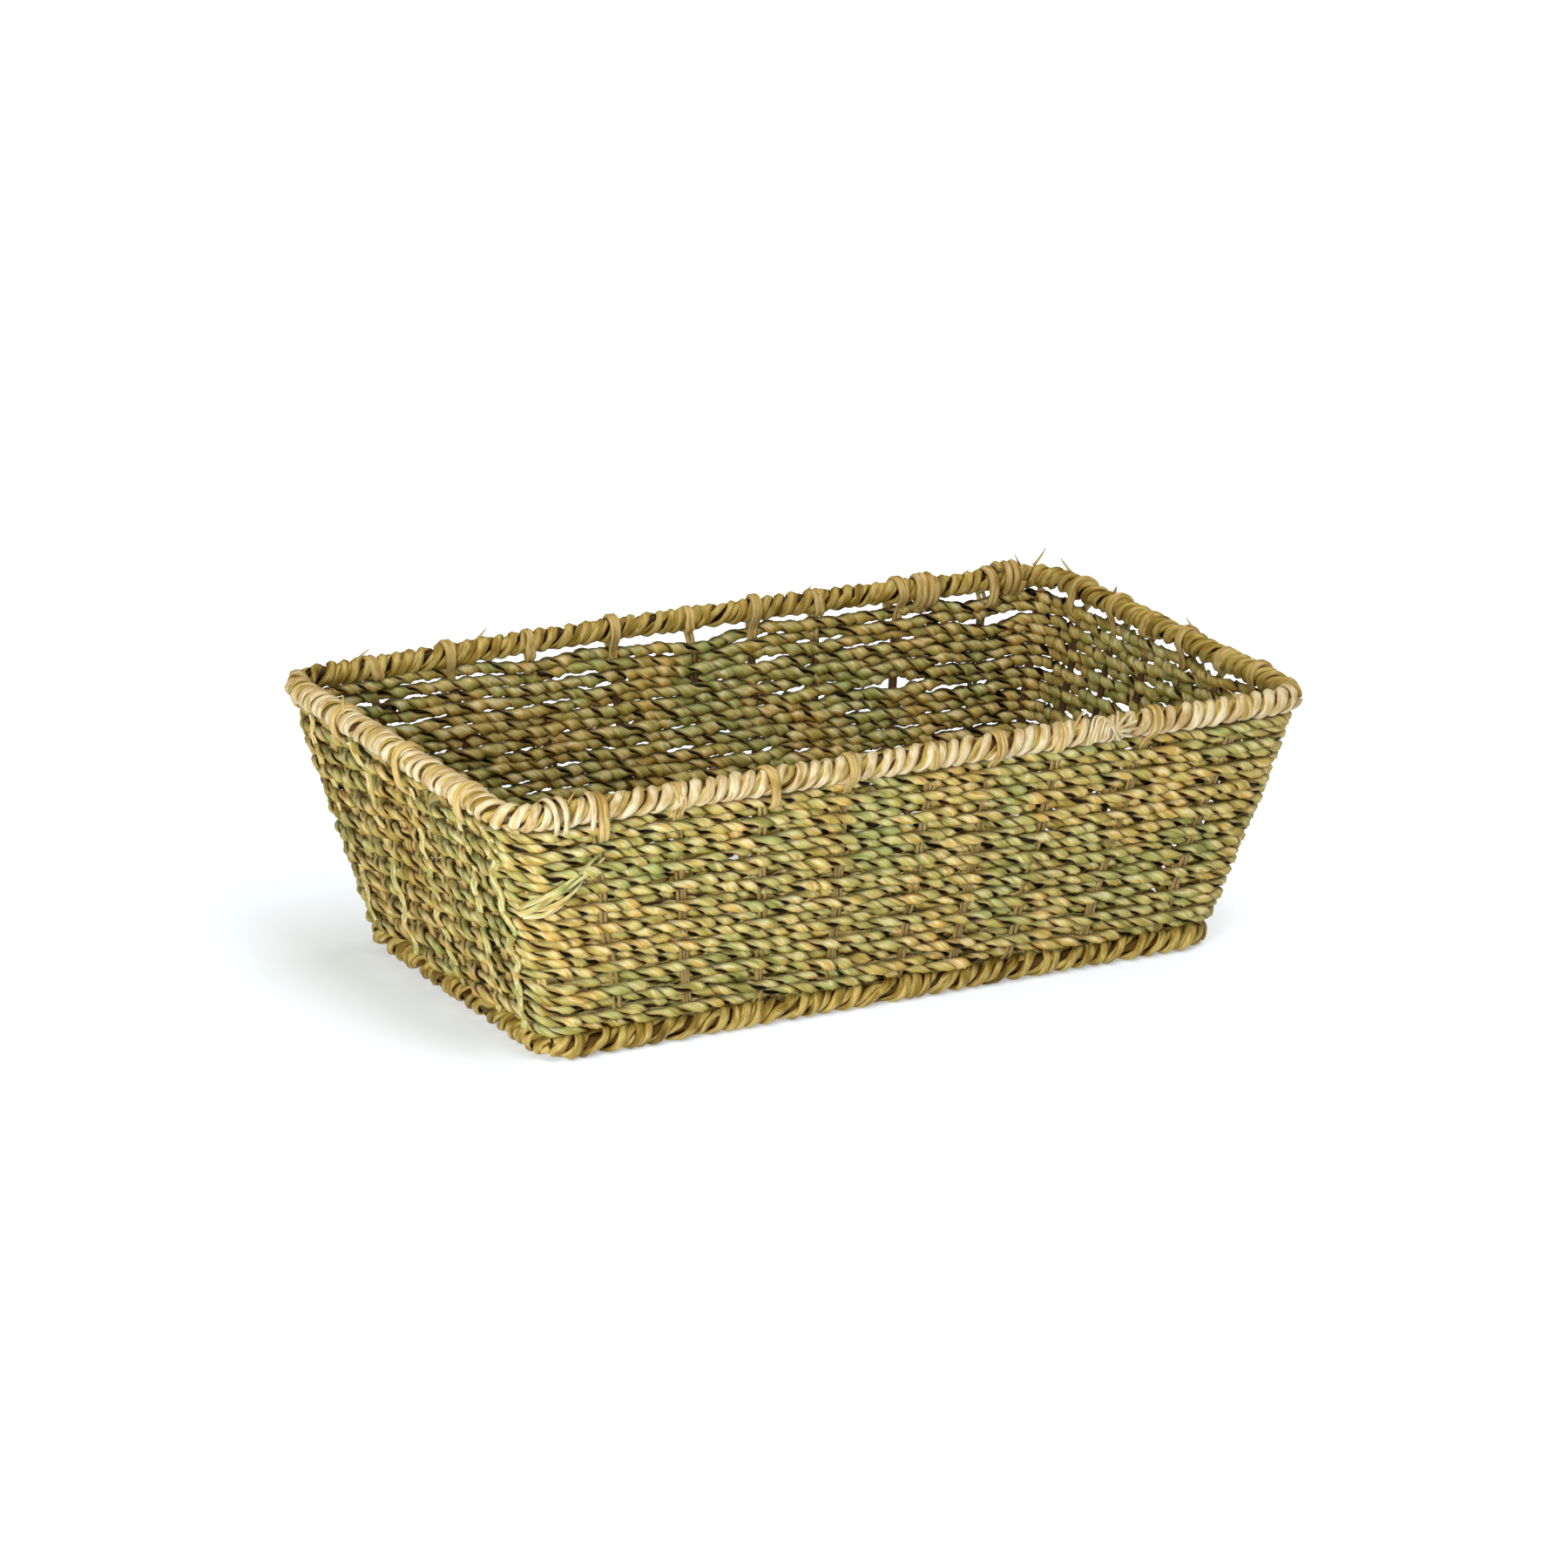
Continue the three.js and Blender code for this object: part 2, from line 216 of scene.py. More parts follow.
class Strands(Tree):
    """A Geometry Nodes group with named inputs."""

    def __init__(self, name, sizes):
        group = bpy.data.node_groups.new(name, "GeometryNodeTree")
        super().__init__(group)
        face = group.interface
        face.new_socket("Path", in_out="INPUT", socket_type="NodeSocketGeometry")
        for size, default in sizes.items():
            kind = "NodeSocketInt" if isinstance(default, int) else "NodeSocketFloat"
            face.new_socket(size, in_out="INPUT", socket_type=kind).default_value = default
        face.new_socket("Material", in_out="INPUT", socket_type="NodeSocketMaterial")
        face.new_socket("Mesh", in_out="OUTPUT", socket_type="NodeSocketGeometry")
        self.start = self.node("NodeGroupInput")

    def size(self, name):
        return Number(self, self.start.outputs[name])

    def position(self):
        return self.value("GeometryNodeInputPosition")

    def stored(self, name):
        settings = {"data_type": "FLOAT_VECTOR"}
        return self.value("GeometryNodeInputNamedAttribute", settings, {"Name": name})

    def stored_number(self, name):
        settings = {"data_type": "FLOAT"}
        return self.number("GeometryNodeInputNamedAttribute", settings, {"Name": name})

    def store(self, geometry, name, value, kind="FLOAT"):
        settings = {"data_type": kind, "domain": "POINT"}
        inputs = {"Geometry": geometry, "Name": name, "Value": value}
        return self.value("GeometryNodeStoreNamedAttribute", settings, inputs)

    def moved(self, curve, offset):
        return self.value("GeometryNodeSetPosition", {}, {"Geometry": curve, "Offset": offset})

    def noise(self, vector, scale, detail=1.0):
        """Smooth noise from -1 to 1."""
        inputs = {"Vector": vector, "Scale": scale, "Detail": detail}
        return self.number("ShaderNodeTexNoise", {"noise_dimensions": "3D"}, inputs) * 2 - 1

    def strands_at_path(self, amount):
        """The path as a curve, copied once for each strand, and each copy's number, from 0."""
        curve = self.value("GeometryNodeMeshToCurve", {}, {0: self.start.outputs["Path"]})
        inputs = {"Curve": curve, "Length": self.size("Step")}
        curve = self.frame_at_path(self.value("GeometryNodeResampleCurve", {"mode": "LENGTH"}, inputs))
        inputs = {"Geometry": curve, "Amount": self.size(amount)}
        copies = self.node("GeometryNodeDuplicateElements", {"domain": "SPLINE"}, inputs)
        curve = self.store(copies.outputs[0], "number", Number(self, copies.outputs[1]))
        return curve, self.stored_number("number")

    def frame_at_path(self, curve):
        """Stores the path's place and its two cross directions, before the curve is moved off it."""
        tangent = self.value("GeometryNodeInputTangent")
        across = self.vector("NORMALIZE", self.vector("CROSS_PRODUCT", tangent, self.stored("outward")))
        square = self.vector("CROSS_PRODUCT", across, tangent)
        for name, value in (("side", across), ("centre", self.position()), ("face", square)):
            curve = self.store(curve, name, value, "FLOAT_VECTOR")
        return curve

    def coil(self, curve, angle, radius):
        """Moves the curve's points out to a helix about the path and turns its normals to point out."""
        out = self.vector(
            "ADD",
            self.vector("SCALE", self.stored("face"), angle.math("COSINE")),
            self.vector("SCALE", self.stored("side"), angle.math("SINE")),
        )
        curve = self.store(curve, "out", out, "FLOAT_VECTOR")
        return self.moved(curve, self.vector("SCALE", self.stored("out"), radius))

    def blade_section(self, tilt):
        """A closed section, thin along its normal and wide across it, with ridges along the blade.
        The tilt, in radians, lifts one edge of the blade above its neighbour."""
        inputs = {"Resolution": self.size("Corners"), "Radius": 1.0}
        circle = self.value("GeometryNodeCurvePrimitiveCircle", {}, inputs)
        circle = self.store(circle, "round", self.number("GeometryNodeSplineParameter"))
        angle = self.stored_number("round") * TURN
        ridge = 1 + RIDGE_HEIGHT * (angle * RIDGES).math("COSINE")
        high = angle.math("COSINE") * ridge * self.size("Strand thickness")
        wide = angle.math("SINE") * self.size("Strand width")
        place = self.combine(
            high * math.cos(tilt) - wide * math.sin(tilt),
            high * math.sin(tilt) + wide * math.cos(tilt),
            0.0,
        )
        return self.value("GeometryNodeSetPosition", {}, {"Geometry": circle, "Position": place})

    def stand(self):
        """How far a surface stands out from the wall that its path lies in, to either side, and how far
        above the path it is, in millimetres."""
        away = self.vector("SUBTRACT", self.position(), self.stored("centre"))
        inputs = {0: away, 1: self.stored("face")}
        depth = self.number("ShaderNodeVectorMath", {"operation": "DOT_PRODUCT"}, inputs, 1)
        return self.combine(depth.math("ABSOLUTE") / MM, self.part(away, 2) / MM, 0.0)

    def finish(self, curve, strand, tilt=0.0):
        """Sweeps the section, keeps its place on the strand for the material, and ends the tree."""
        free = self.node("GeometryNodeSetCurveNormal", {"mode": "FREE"}, {"Curve": curve})
        self.feed(free.inputs["Normal"], self.stored("out"))
        curve = self.store(free.outputs[0], "along", self.number("GeometryNodeSplineParameter", output=1))
        curve = self.store(curve, "strand", strand)
        radius = self.stored_number("swell") * self.stored_number("girth")
        section = self.blade_section(tilt)
        inputs = {"Curve": curve, "Profile Curve": section, "Scale": radius, "Fill Caps": True}
        mesh = self.value("GeometryNodeCurveToMesh", {}, inputs)
        angle = self.stored_number("round") * TURN
        length = self.stored_number("along") / MM + self.stored_number("strand") * STRAND_STEP
        blade = self.combine(angle.math("COSINE"), angle.math("SINE"), length)
        mesh = self.store(mesh, "blade", blade, "FLOAT_VECTOR")
        mesh = self.store(mesh, "stand", self.stand(), "FLOAT_VECTOR")
        for name in ("outward", "girth", "side", "face", "centre", "out", "along", "round"):
            mesh = self.value("GeometryNodeRemoveAttribute", {}, {"Geometry": mesh, "Name": name})
        mesh = self.value("GeometryNodeSetShadeSmooth", {}, {"Geometry": mesh})
        mesh = self.value("GeometryNodeRealizeInstances", {}, {"Geometry": mesh})
        inputs = {"Geometry": mesh, "Material": self.start.outputs["Material"]}
        mesh = self.value("GeometryNodeSetMaterial", {}, inputs)
        self.node("NodeGroupOutput", {}, {"Mesh": mesh})
        return self.nodes_tree


PLY_TILT = 0.34
LEAF_LATE = 0.3  # how far round, in radians, a ply's broadest place comes after the wall's face
TWIST_NOISE = 1.8


def twisted_rope_tree():
    """Plies laid round each other along a path. Each is broad where it faces the wall's sides and narrow
    where it crosses the other, so a row looks like a chain of leaves."""
    tree = Strands("Twisted rope", {
        "Step": 1.1 * MM,
        "Plies": 2,
        "Ply offset": 1.05 * MM,
        "Strand thickness": 1.6 * MM,
        "Strand width": 2.5 * MM,
        "Leafiness": 0.4,
        "Turns": 50.0,
        "Unevenness": 0.22,
        "Seed": 0.0,
        "Corners": 10,
    })
    curve, ply = tree.strands_at_path("Plies")
    seed = tree.size("Seed")
    place = tree.vector("ADD", tree.position(), tree.combine(seed, ply * 0.5, 0.0))
    factor = tree.number("GeometryNodeSplineParameter")
    angle = factor * tree.size("Turns") * TURN + ply / tree.size("Plies") * TURN
    angle = angle + tree.noise(place, 48.0) * TWIST_NOISE
    facing_wall = (angle - LEAF_LATE).math("COSINE")
    leaf = 1 - tree.size("Leafiness") * (1 - facing_wall * facing_wall)
    swell = leaf * (1 + tree.noise(place, 110.0, 2.0) * tree.size("Unevenness") * 2)
    curve = tree.store(curve, "swell", swell)
    curve = tree.coil(curve, angle, tree.size("Ply offset"))
    return tree.finish(curve, seed * 2 + ply, PLY_TILT)


SLIDE = 1.8 * MM


def wrapped_strands_tree():
    """Strands wound side by side round a core that follows a path. Their lean drifts along the path."""
    tree = Strands("Wrapped strands", {
        "Step": 0.4 * MM,
        "Starts": 3,
        "Core radius": 4.75 * MM,
        "Lead": -13.5 * MM,
        "Strand thickness": 1.4 * MM,
        "Strand width": 1.85 * MM,
        "Drift": 3.2,
        "Stray": 0.8,
        "Lift": 0.6 * MM,
        "Unevenness": 0.18,
        "Seed": 0.0,
        "Corners": 10,
    })
    curve, start = tree.strands_at_path("Starts")
    seed = tree.size("Seed")
    length = tree.number("GeometryNodeSplineParameter", output=1)
    shared = tree.vector("ADD", tree.position(), tree.combine(seed, 0.0, 0.0))
    own = tree.vector("ADD", shared, tree.combine(0.0, 0.0, start * 0.37))
    angle = length / tree.size("Lead") * TURN + start / tree.size("Starts") * TURN
    drift = tree.noise(shared, 38.0) * tree.size("Drift")
    angle = angle + drift + tree.noise(own, 60.0) * tree.size("Stray")
    lift = tree.noise(tree.vector("ADD", own, tree.combine(0.0, 3.1, 0.0)), 190.0, 2.0)
    swell = 1 + tree.noise(own, 150.0, 2.0) * tree.size("Unevenness") * 2
    curve = tree.store(curve, "swell", swell)
    slide = tree.noise(tree.vector("ADD", own, tree.combine(7.7, 0.0, 0.0)), 150.0, 2.0) * SLIDE
    slide = tree.vector("SCALE", tree.value("GeometryNodeInputTangent"), slide)
    curve = tree.store(curve, "slide", slide, "FLOAT_VECTOR")
    curve = tree.coil(curve, angle, tree.size("Core radius") + lift * tree.size("Lift"))
    return tree.finish(tree.moved(curve, tree.stored("slide")), seed * 3 + start)


def laid_strands_tree():
    """Flat strands side by side along a path."""
    tree = Strands("Laid strands", {
        "Step": 1.5 * MM,
        "Strands": 2,
        "Spacing": 2.0 * MM,
        "Strand thickness": 0.55 * MM,
        "Strand width": 1.0 * MM,
        "Wander": 0.5 * MM,
        "Taper": 0.0,
        "Seed": 0.0,
        "Corners": 8,
    })
    curve, strand = tree.strands_at_path("Strands")
    seed = tree.size("Seed")
    place = tree.vector("ADD", tree.position(), tree.combine(seed, strand * 0.61, 0.0))
    factor = tree.number("GeometryNodeSplineParameter")
    swell = (1 + tree.noise(place, 120.0, 2.0) * 0.3) * (1 - tree.size("Taper") * factor)
    curve = tree.store(curve, "swell", swell)
    curve = tree.store(curve, "out", tree.stored("face"), "FLOAT_VECTOR")
    sideways = (strand - (tree.size("Strands") - 1) / 2) * tree.size("Spacing")
    sideways = sideways + tree.noise(place, 55.0) * tree.size("Wander")
    curve = tree.moved(curve, tree.vector("SCALE", tree.stored("side"), sideways))
    return tree.finish(curve, seed * 5 + strand)


def path_mesh(points, outwards, closed, girths=None):
    """A mesh of edges through the points, with each one's outward direction and relative strand size."""
    count = len(points)
    edges = [(i, i + 1) for i in range(count - 1)]
    if closed:
        edges.append((count - 1, 0))
    mesh = bpy.data.meshes.new("path")
    mesh.from_pydata([tuple(p) for p in points], edges, [])
    attribute = mesh.attributes.new("outward", "FLOAT_VECTOR", "POINT")
    for item, outward in zip(attribute.data, outwards):
        item.vector = outward
    attribute = mesh.attributes.new("girth", "FLOAT", "POINT")
    for item, girth in zip(attribute.data, girths or [1.0] * count):
        item.value = girth
    return mesh


def grow(tree, paths, material, sizes):
    """Runs a tree on each path and returns the result as one plain mesh."""
    meshes = []
    for index, path in enumerate(paths):
        host = bpy.data.objects.new("path", path_mesh(*path))
        bpy.context.scene.collection.objects.link(host)
        modifier = host.modifiers.new("strands", "NODES")
        modifier.node_group = tree
        values = {"Material": material, **sizes}
        if "Seed" in sizes:
            values["Seed"] = sizes["Seed"] + index * 0.173
        for item in tree.interface.items_tree:
            if item.in_out == "INPUT" and item.name in values:
                modifier[item.identifier] = values[item.name]
        settled = host.evaluated_get(bpy.context.evaluated_depsgraph_get())
        meshes.append(bpy.data.meshes.new_from_object(settled))
        bpy.data.objects.remove(host)
    return meshes


def join(name, meshes):
    """One object made of several meshes that share their materials."""
    objects = []
    for mesh in meshes:
        part = bpy.data.objects.new(name, mesh)
        bpy.context.scene.collection.objects.link(part)
        objects.append(part)
    if len(objects) > 1:
        with bpy.context.temp_override(active_object=objects[0], selected_editable_objects=objects):
            bpy.ops.object.join()
    return objects[0]


def place_piece(piece, slot, *nodes):
    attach(piece, "root")
    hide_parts(*nodes)


# ---- materials ----


def srgb(red, green, blue):
    """A colour given by its display values, from 0 to 255, as scene-linear numbers."""
    def linear(value):
        value /= 255
        return value / 12.92 if value <= 0.04045 else ((value + 0.055) / 1.055) ** 2.4
    return (linear(red), linear(green), linear(blue))


class Paint(Tree):
    """A new material, and nodes that colour its surface."""

    def __init__(self, name):
        self.material = bpy.data.materials.new(name)
        self.material.use_nodes = True
        super().__init__(self.material.node_tree)
        self.surface = self.nodes_tree.nodes["Principled BSDF"]
        self.spot = self.value("ShaderNodeTexCoord", {}, {}, "Object")

    def attribute(self, name):
        return self.value("ShaderNodeAttribute", {"attribute_name": name}, {}, "Vector")

    def noise_at(self, vector, stretch, scale, detail):
        moved = self.vector("MULTIPLY", vector, stretch)
        inputs = {"Vector": moved, "Scale": scale, "Detail": detail}
        return self.number("ShaderNodeTexNoise", {"noise_dimensions": "3D"}, inputs)

    def spread(self, number, low, high):
        """0 at the low value, 1 at the high one."""
        inputs = {"Value": number, "From Min": low, "From Max": high}
        return self.number("ShaderNodeMapRange", {"clamp": True}, inputs)

    def ramp(self, number, stops):
        return self.value("ShaderNodeValToRGB", {"stops": stops}, {"Fac": number})

    def mix(self, kind, amount, *parts):
        """Two colours mixed. Each is a socket or three display values."""
        made = self.node("ShaderNodeMix", {"data_type": "RGBA", "blend_type": kind})
        self.feed(made.inputs["Factor"], amount)
        sockets = [socket for socket in made.inputs if socket.type == "RGBA"]
        for socket, part in zip(sockets, parts):
            self.feed(socket, (*srgb(*part), 1) if isinstance(part, tuple) else part)
        return next(socket for socket in made.outputs if socket.type == "RGBA")

    def paint(self, **values):
        for name, value in values.items():
            self.feed(self.surface.inputs[name.replace("_", " ")], value)


STAIN = (150, 112, 66)
# Painted shade: the dark colour for the backs of blades and the gaps between rows.
PAINTED_CREVICE_SHADE = (62, 42, 2)
BLADE_EDGE = (172, 118, 44)
# Painted shade: the brown tint of each row's lower half.
PAINTED_UNDERSIDE_SHADE = (234, 218, 142)
# Noise stretches: through the blade and across it, where it is 1 from middle to edge, and along it in mm.
COLOR_STRETCH = (0.45, 0.45, 0.075)
FIBRE_STRETCH = (2.6, 2.6, 0.10)
STAIN_STRETCH = (0.8, 0.8, 0.16)
FIBRE_DEPTH = 0.4 * MM


def painted_stack_shade(tree, color):
    """Painted shade: strands in a wall are darkened where the next one lies against them, most of all
    underneath, and their lower halves get a painted brown tint. The painted shade is deeper towards the
    back, and deeper still in its right corner."""
    stand = tree.attribute("stand")
    deep = 1 - tree.spread(tree.part(stand, 0), 0.6, 2.0)
    under = 1 - tree.spread(tree.part(stand, 1), -1.2, 1.0)
    color = tree.mix("MULTIPLY", under * 0.8, color, PAINTED_UNDERSIDE_SHADE)
    uneven = tree.spread(tree.noise_at(tree.spot, (1, 1, 0.6), 130.0, 1.0), 0.38, 0.58)
    at_back = tree.spread(tree.part(tree.spot, 1), 0.5 * RIM.half_y, 0.8 * RIM.half_y)
    in_corner = tree.spread(tree.part(tree.spot, 0), 0.35 * RIM.half_x, 0.8 * RIM.half_x)
    depth = (under * 0.6 + 0.3) * (uneven * 0.75 + 0.4) + at_back * (in_corner * 0.45 + 0.3)
    return tree.mix("MULTIPLY", deep * depth, color, PAINTED_CREVICE_SHADE)


def tucked_shade(tree, color, height, dark):
    """Painted shade: strands are darkened below a height, where the rows cover them, except at the left
    end.
    The painted shade is darkest away from the front."""
    below = 1 - tree.spread(tree.part(tree.spot, 2), height - 6 * MM, height)
    right = tree.spread(tree.part(tree.spot, 0), -FOOT.half_x, 8 * MM - FOOT.half_x)
    inward = tree.spread(tree.part(tree.spot, 1), -RIM.half_y, 0)
    return tree.mix("MULTIPLY", below * right * (inward * 0.55 + 0.4), color, dark)


def leaf_material(name, palette, patches, patch_share=0.3, two_faced=False, stacked=False, below=None,
                  shine=0.4):
    """Dried grass blade: a colour that changes slowly along each strand, and fine lengthwise fibres.
    A blade has painted shade on its back, unless it is two-faced, and is brown at its edges."""
    tree = Paint(name)
    place = tree.attribute("blade")

    blades = tree.spread(tree.noise_at(place, COLOR_STRETCH, 1.0, 2.0), 0.30, 0.70)
    color = tree.ramp(blades, [(i / (len(palette) - 1), srgb(*part)) for i, part in enumerate(palette)])
    patch = tree.spread(tree.noise_at(tree.spot, (1, 1, 1), 30.0, 2.0), 0.40, 0.60)
    color = tree.mix("MIX", patch_share, color, tree.mix("MIX", patch, *patches))

    fibres = tree.noise_at(place, FIBRE_STRETCH, 1.6, 3.0)
    light = tree.spread(fibres, 0.25, 0.75)
    shade = tree.combine(0.72 + light * 0.36, 0.68 + light * 0.4, 0.5 + light * 0.6)
    color = tree.mix("MULTIPLY", 1.0, color, shade)
    stains = tree.spread(tree.noise_at(place, STAIN_STRETCH, 1.1, 3.0), 0.62, 0.80)
    color = tree.mix("MULTIPLY", stains * 0.65, color, STAIN)

    crown = tree.part(place, 0)
    if two_faced:
        crown = crown.math("ABSOLUTE")
    seam = tree.spread(tree.part(place, 1).math("ABSOLUTE"), 0.86, 1.0)
    color = tree.mix("MULTIPLY", seam * 0.5, color, BLADE_EDGE)
    # Painted shade on the back of each blade, where it faces into its strand.
    painted_back_shade = 1 - tree.spread(crown, -0.75, -0.2)
    color = tree.mix("MULTIPLY", painted_back_shade * 0.95, color, PAINTED_CREVICE_SHADE)
    # Painted shade between the rows of a wall.
    if stacked:
        color = painted_stack_shade(tree, color)
    if below:
        color = tucked_shade(tree, color, *below)

    bump = tree.node("ShaderNodeBump", {}, {"Strength": 0.55, "Distance": FIBRE_DEPTH, "Height": fibres})
    tree.paint(
        Base_Color=color,
        Roughness=0.42 + light * 0.2,
        Normal=bump.outputs[0],
        Specular_IOR_Level=0.12,
        Coat_Weight=tree.spread(crown, 0.3, 0.9) * light * shine,
        Coat_Roughness=0.4,
    )
    return tree.material


ROPE_PALETTE = [
    (100, 82, 4), (146, 136, 50), (162, 172, 124), (186, 172, 102), (230, 224, 196), (202, 152, 74),
    (168, 168, 100), (122, 94, 8),
]
ROPE_PATCHES = ((144, 154, 98), (190, 162, 96))
STRAW_PALETTE = [
    (140, 106, 48), (184, 162, 118), (214, 206, 186), (194, 174, 138), (160, 128, 78), (208, 198, 174),
]
OLIVE_PALETTE = [(94, 68, 8), (146, 120, 50), (196, 178, 116), (160, 134, 62), (114, 86, 20)]
FOOT_PALETTE = [(62, 42, 2), (132, 106, 38), (196, 176, 110), (138, 114, 44), (84, 60, 8)]
TWINE_PALETTE = [(138, 106, 46), (182, 158, 102), (200, 180, 132), (156, 130, 72)]
CORE_PALETTE = [(66, 44, 10), (104, 76, 26)]
# Painted shade: the colour of strands below the tops of the rows.
TUCKED_TWINE_SHADE = (100, 74, 26)
TUCK_DEPTH = 9 * MM

rope_finish = leaf_material("dry seagrass", ROPE_PALETTE, ROPE_PATCHES, 0.47, stacked=True)
ridge_finish = leaf_material("loose seagrass", ROPE_PALETTE, ROPE_PATCHES, 0.35)
rim_finish = leaf_material("straw leaf", STRAW_PALETTE, ((196, 180, 144), (178, 156, 106)), shine=0.2)
olive_finish = leaf_material("olive straw leaf", OLIVE_PALETTE, ((158, 136, 62), (132, 108, 38)))
# Painted shade: a darker copy of the straw, for the foot and for the rim's under layer.
foot_finish = leaf_material("shaded straw leaf", FOOT_PALETTE, ((168, 142, 62), (126, 104, 34)))
twine_finish = leaf_material(
    "thin tan strand", TWINE_PALETTE, ((180, 150, 80), (150, 120, 52)),
    two_faced=True, below=(RIM.z - TUCK_DEPTH, TUCKED_TWINE_SHADE),
)
# The core bundle lies under the wraps; its dark brown is partly its own colour and partly painted shade
# where it shows between them.
core_finish = leaf_material("core bundle", CORE_PALETTE, ((84, 60, 16), (64, 44, 8)))


def wire_material():
    tree = Paint("dull wire")
    scratches = tree.number("ShaderNodeTexNoise", {}, {"Vector": tree.spot, "Scale": 400.0, "Detail": 3.0})
    stops = [(0.3, srgb(60, 54, 46)), (0.7, srgb(104, 98, 88))]
    tree.paint(Base_Color=tree.ramp(scratches, stops), Roughness=scratches * 0.3 + 0.4, Metallic=0.9)
    return tree.material


wire_finish = wire_material()
for wire in ("rim_wire", "foot_wire"):
    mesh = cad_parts[wire].data
    mesh.materials.clear()
    mesh.materials.append(wire_finish)


# ---- the wall's surface ----


def wall_place(leg, t, z):
    """A point of the wall's middle surface and its outward direction. Even legs are corner arcs."""
    half_x, half_y, corner = wall_size(z)
    centres = [Vector((x * (half_x - corner), y * (half_y - corner), z)) for x, y in CORNER_SIGNS]
    index, straight = divmod(leg, 2)
    angle = math.radians(90 * (index + (1 if straight else t)))
    out = Vector((math.cos(angle), math.sin(angle), 0))
    centre = centres[index].lerp(centres[(index + 1) % 4], t) if straight else centres[index]
    return centre + out * corner, out


def uprights(z):
    """Each upright that a row passes, as (leg, t), in the order of the legs."""
    half_x, half_y, corner = wall_size(z)
    long_t = [(place * half_x / (half_x - corner) + 1) / 2 for place in CROSS_PLACES]
    end_t = [(place * half_y / (half_y - corner) + 1) / 2 for place in LONG_PLACES]
    found = []
    for index, places in enumerate((long_t, end_t, long_t, end_t)):
        found.append((2 * index, 0.5))
        ordered = [1 - t for t in reversed(places)] if index < 2 else places
        found.extend((2 * index + 1, t) for t in ordered)
    return found


def leg_lengths(z):
    half_x, half_y, corner = wall_size(z)
    arc = corner * math.pi / 2
    return [arc, 2 * (half_x - corner), arc, 2 * (half_y - corner)] * 2


def row_side(row, upright):
    return 1 if (row + upright) % 2 == 0 else -1


# ---- rope rows ----

ROW_STEP = 2.4 * MM
TWIST_LENGTH = 19.5 * MM
TWIST_SPREAD = 0.2
ROW_SWING = 2.7 * MM
CORNER_SWING = 0.45
BROAD_WANDER = 1.6 * MM
FINE_WANDER = 1.3 * MM
RIPPLE = 0.6 * MM
BACK_RIPPLE = 0.3 * MM
# Where two rows stand apart: the place, the half width and how far each row gives way, in mm.
PARTED_PLACES = [
    (-152, -85, 38, 7, 2.2), (-20, -98, 100, 9, 1.4), (-176, -96, 79, 8, 2.4), (96, -95, 60, 6, 1.0),
    (-180, 88, 99, 8, 2.8), (-180, -33, 99, 8, 2.8), (-172, -2, 70, 6, 2.4), (-174, 60, 78, 7, 2.2),
    (-164, -60, 43, 8, 2.4), (-156, -34, 15, 7, 2.0), (-160, 6, 28, 7, 2.2), (-181, 25, 103, 7, 2.2),
    (-176, -88, 83, 6, 2.2), (155, 98, 97, 13, 2.2), (64, 93, 72, 7, 1.6), (104, 93, 72, 7, 1.6),
    (-43, 97, 94, 8, 1.4), (172, 20, 74, 7, 1.3), (180, -60, 98, 10, 1.8), (168, 60, 55, 7, 1.2),
]
PARTED_HEIGHT = 8
PACKED_ROWS = 6
FOOT_PACKING = 2.0 * MM
SAGGED_ROWS = 11
BACK_SAG = 3.8 * MM
SAG_FROM_CORNER = 24 * MM
LEFT_SAG = -0.5  # the rows at the left of the back stand up instead
LEFT_SAG_END = -115 * MM
LEFT_SAG_BLEND = 50 * MM
RIM_BOW = 2.3 * MM
BOW_SPREAD = 120 * MM
SIDE_BULGE = 1.8 * MM
ROW_UNEVENNESS = 0.2
FAR_GIRTH = 0.18
LOW_FAR_GIRTH = 0.12


def rim_bow(point):
    """How far the rim has risen: its back is bowed upwards. It fades to nothing at the foot."""
    at_back = clamp(point.y / RIM.half_y) ** 4
    return RIM_BOW * at_back * math.exp(-((point.x / BOW_SPREAD) ** 4)) * clamp(rise(point.z)) ** 6


def wall_swing(out):
    """How far the rows swing in and out on each wall, against the usual swing."""
    return 1 + 0.35 * max(0, -out.x) - 0.3 * max(0, out.x) - 0.52 * max(0, out.y) - 0.15 * max(0, -out.y)


def upright_swing(row, number, leg):
    """How far out of the wall a row passes an upright: by turns at stakes, always outside at corners."""
    if leg % 2 == 0:
        return CORNER_SWING
    return row_side(row, number) * (0.9 + 0.55 * wobble(row * 3.7, number * 5.3, 0.5))


def parting(point):
    """How far a row gives way to the openings between rows."""
    lift = 0
    for x, y, z, width, opening in PARTED_PLACES:
        along = (Vector((point.x, point.y)) - Vector((x, y)) * MM).length / (width * MM)
        up = point.z / MM - z
        lift += opening * math.copysign(1, up) * math.exp(-along ** 2 - (up / PARTED_HEIGHT) ** 2)
    return lift * MM


def back_sag(point, row):
    """How far the highest rows at the back have sagged. They hang in uneven waves."""
    at_back = clamp(point.y / RIM.half_y) ** 6 * clamp((RIM.half_x - abs(point.x)) / SAG_FROM_CORNER)
    waves = clamp(0.2 + 1.9 * wobble(point.x * 24 + 5.2, 0.3, 0.7), -0.2, 1)
    waves = blend_number(LEFT_SAG, waves, clamp((point.x - LEFT_SAG_END) / LEFT_SAG_BLEND))
    height = max(0, (row - ROWS + SAGGED_ROWS) / SAGGED_ROWS) ** 1.4
    return BACK_SAG * at_back * height * waves


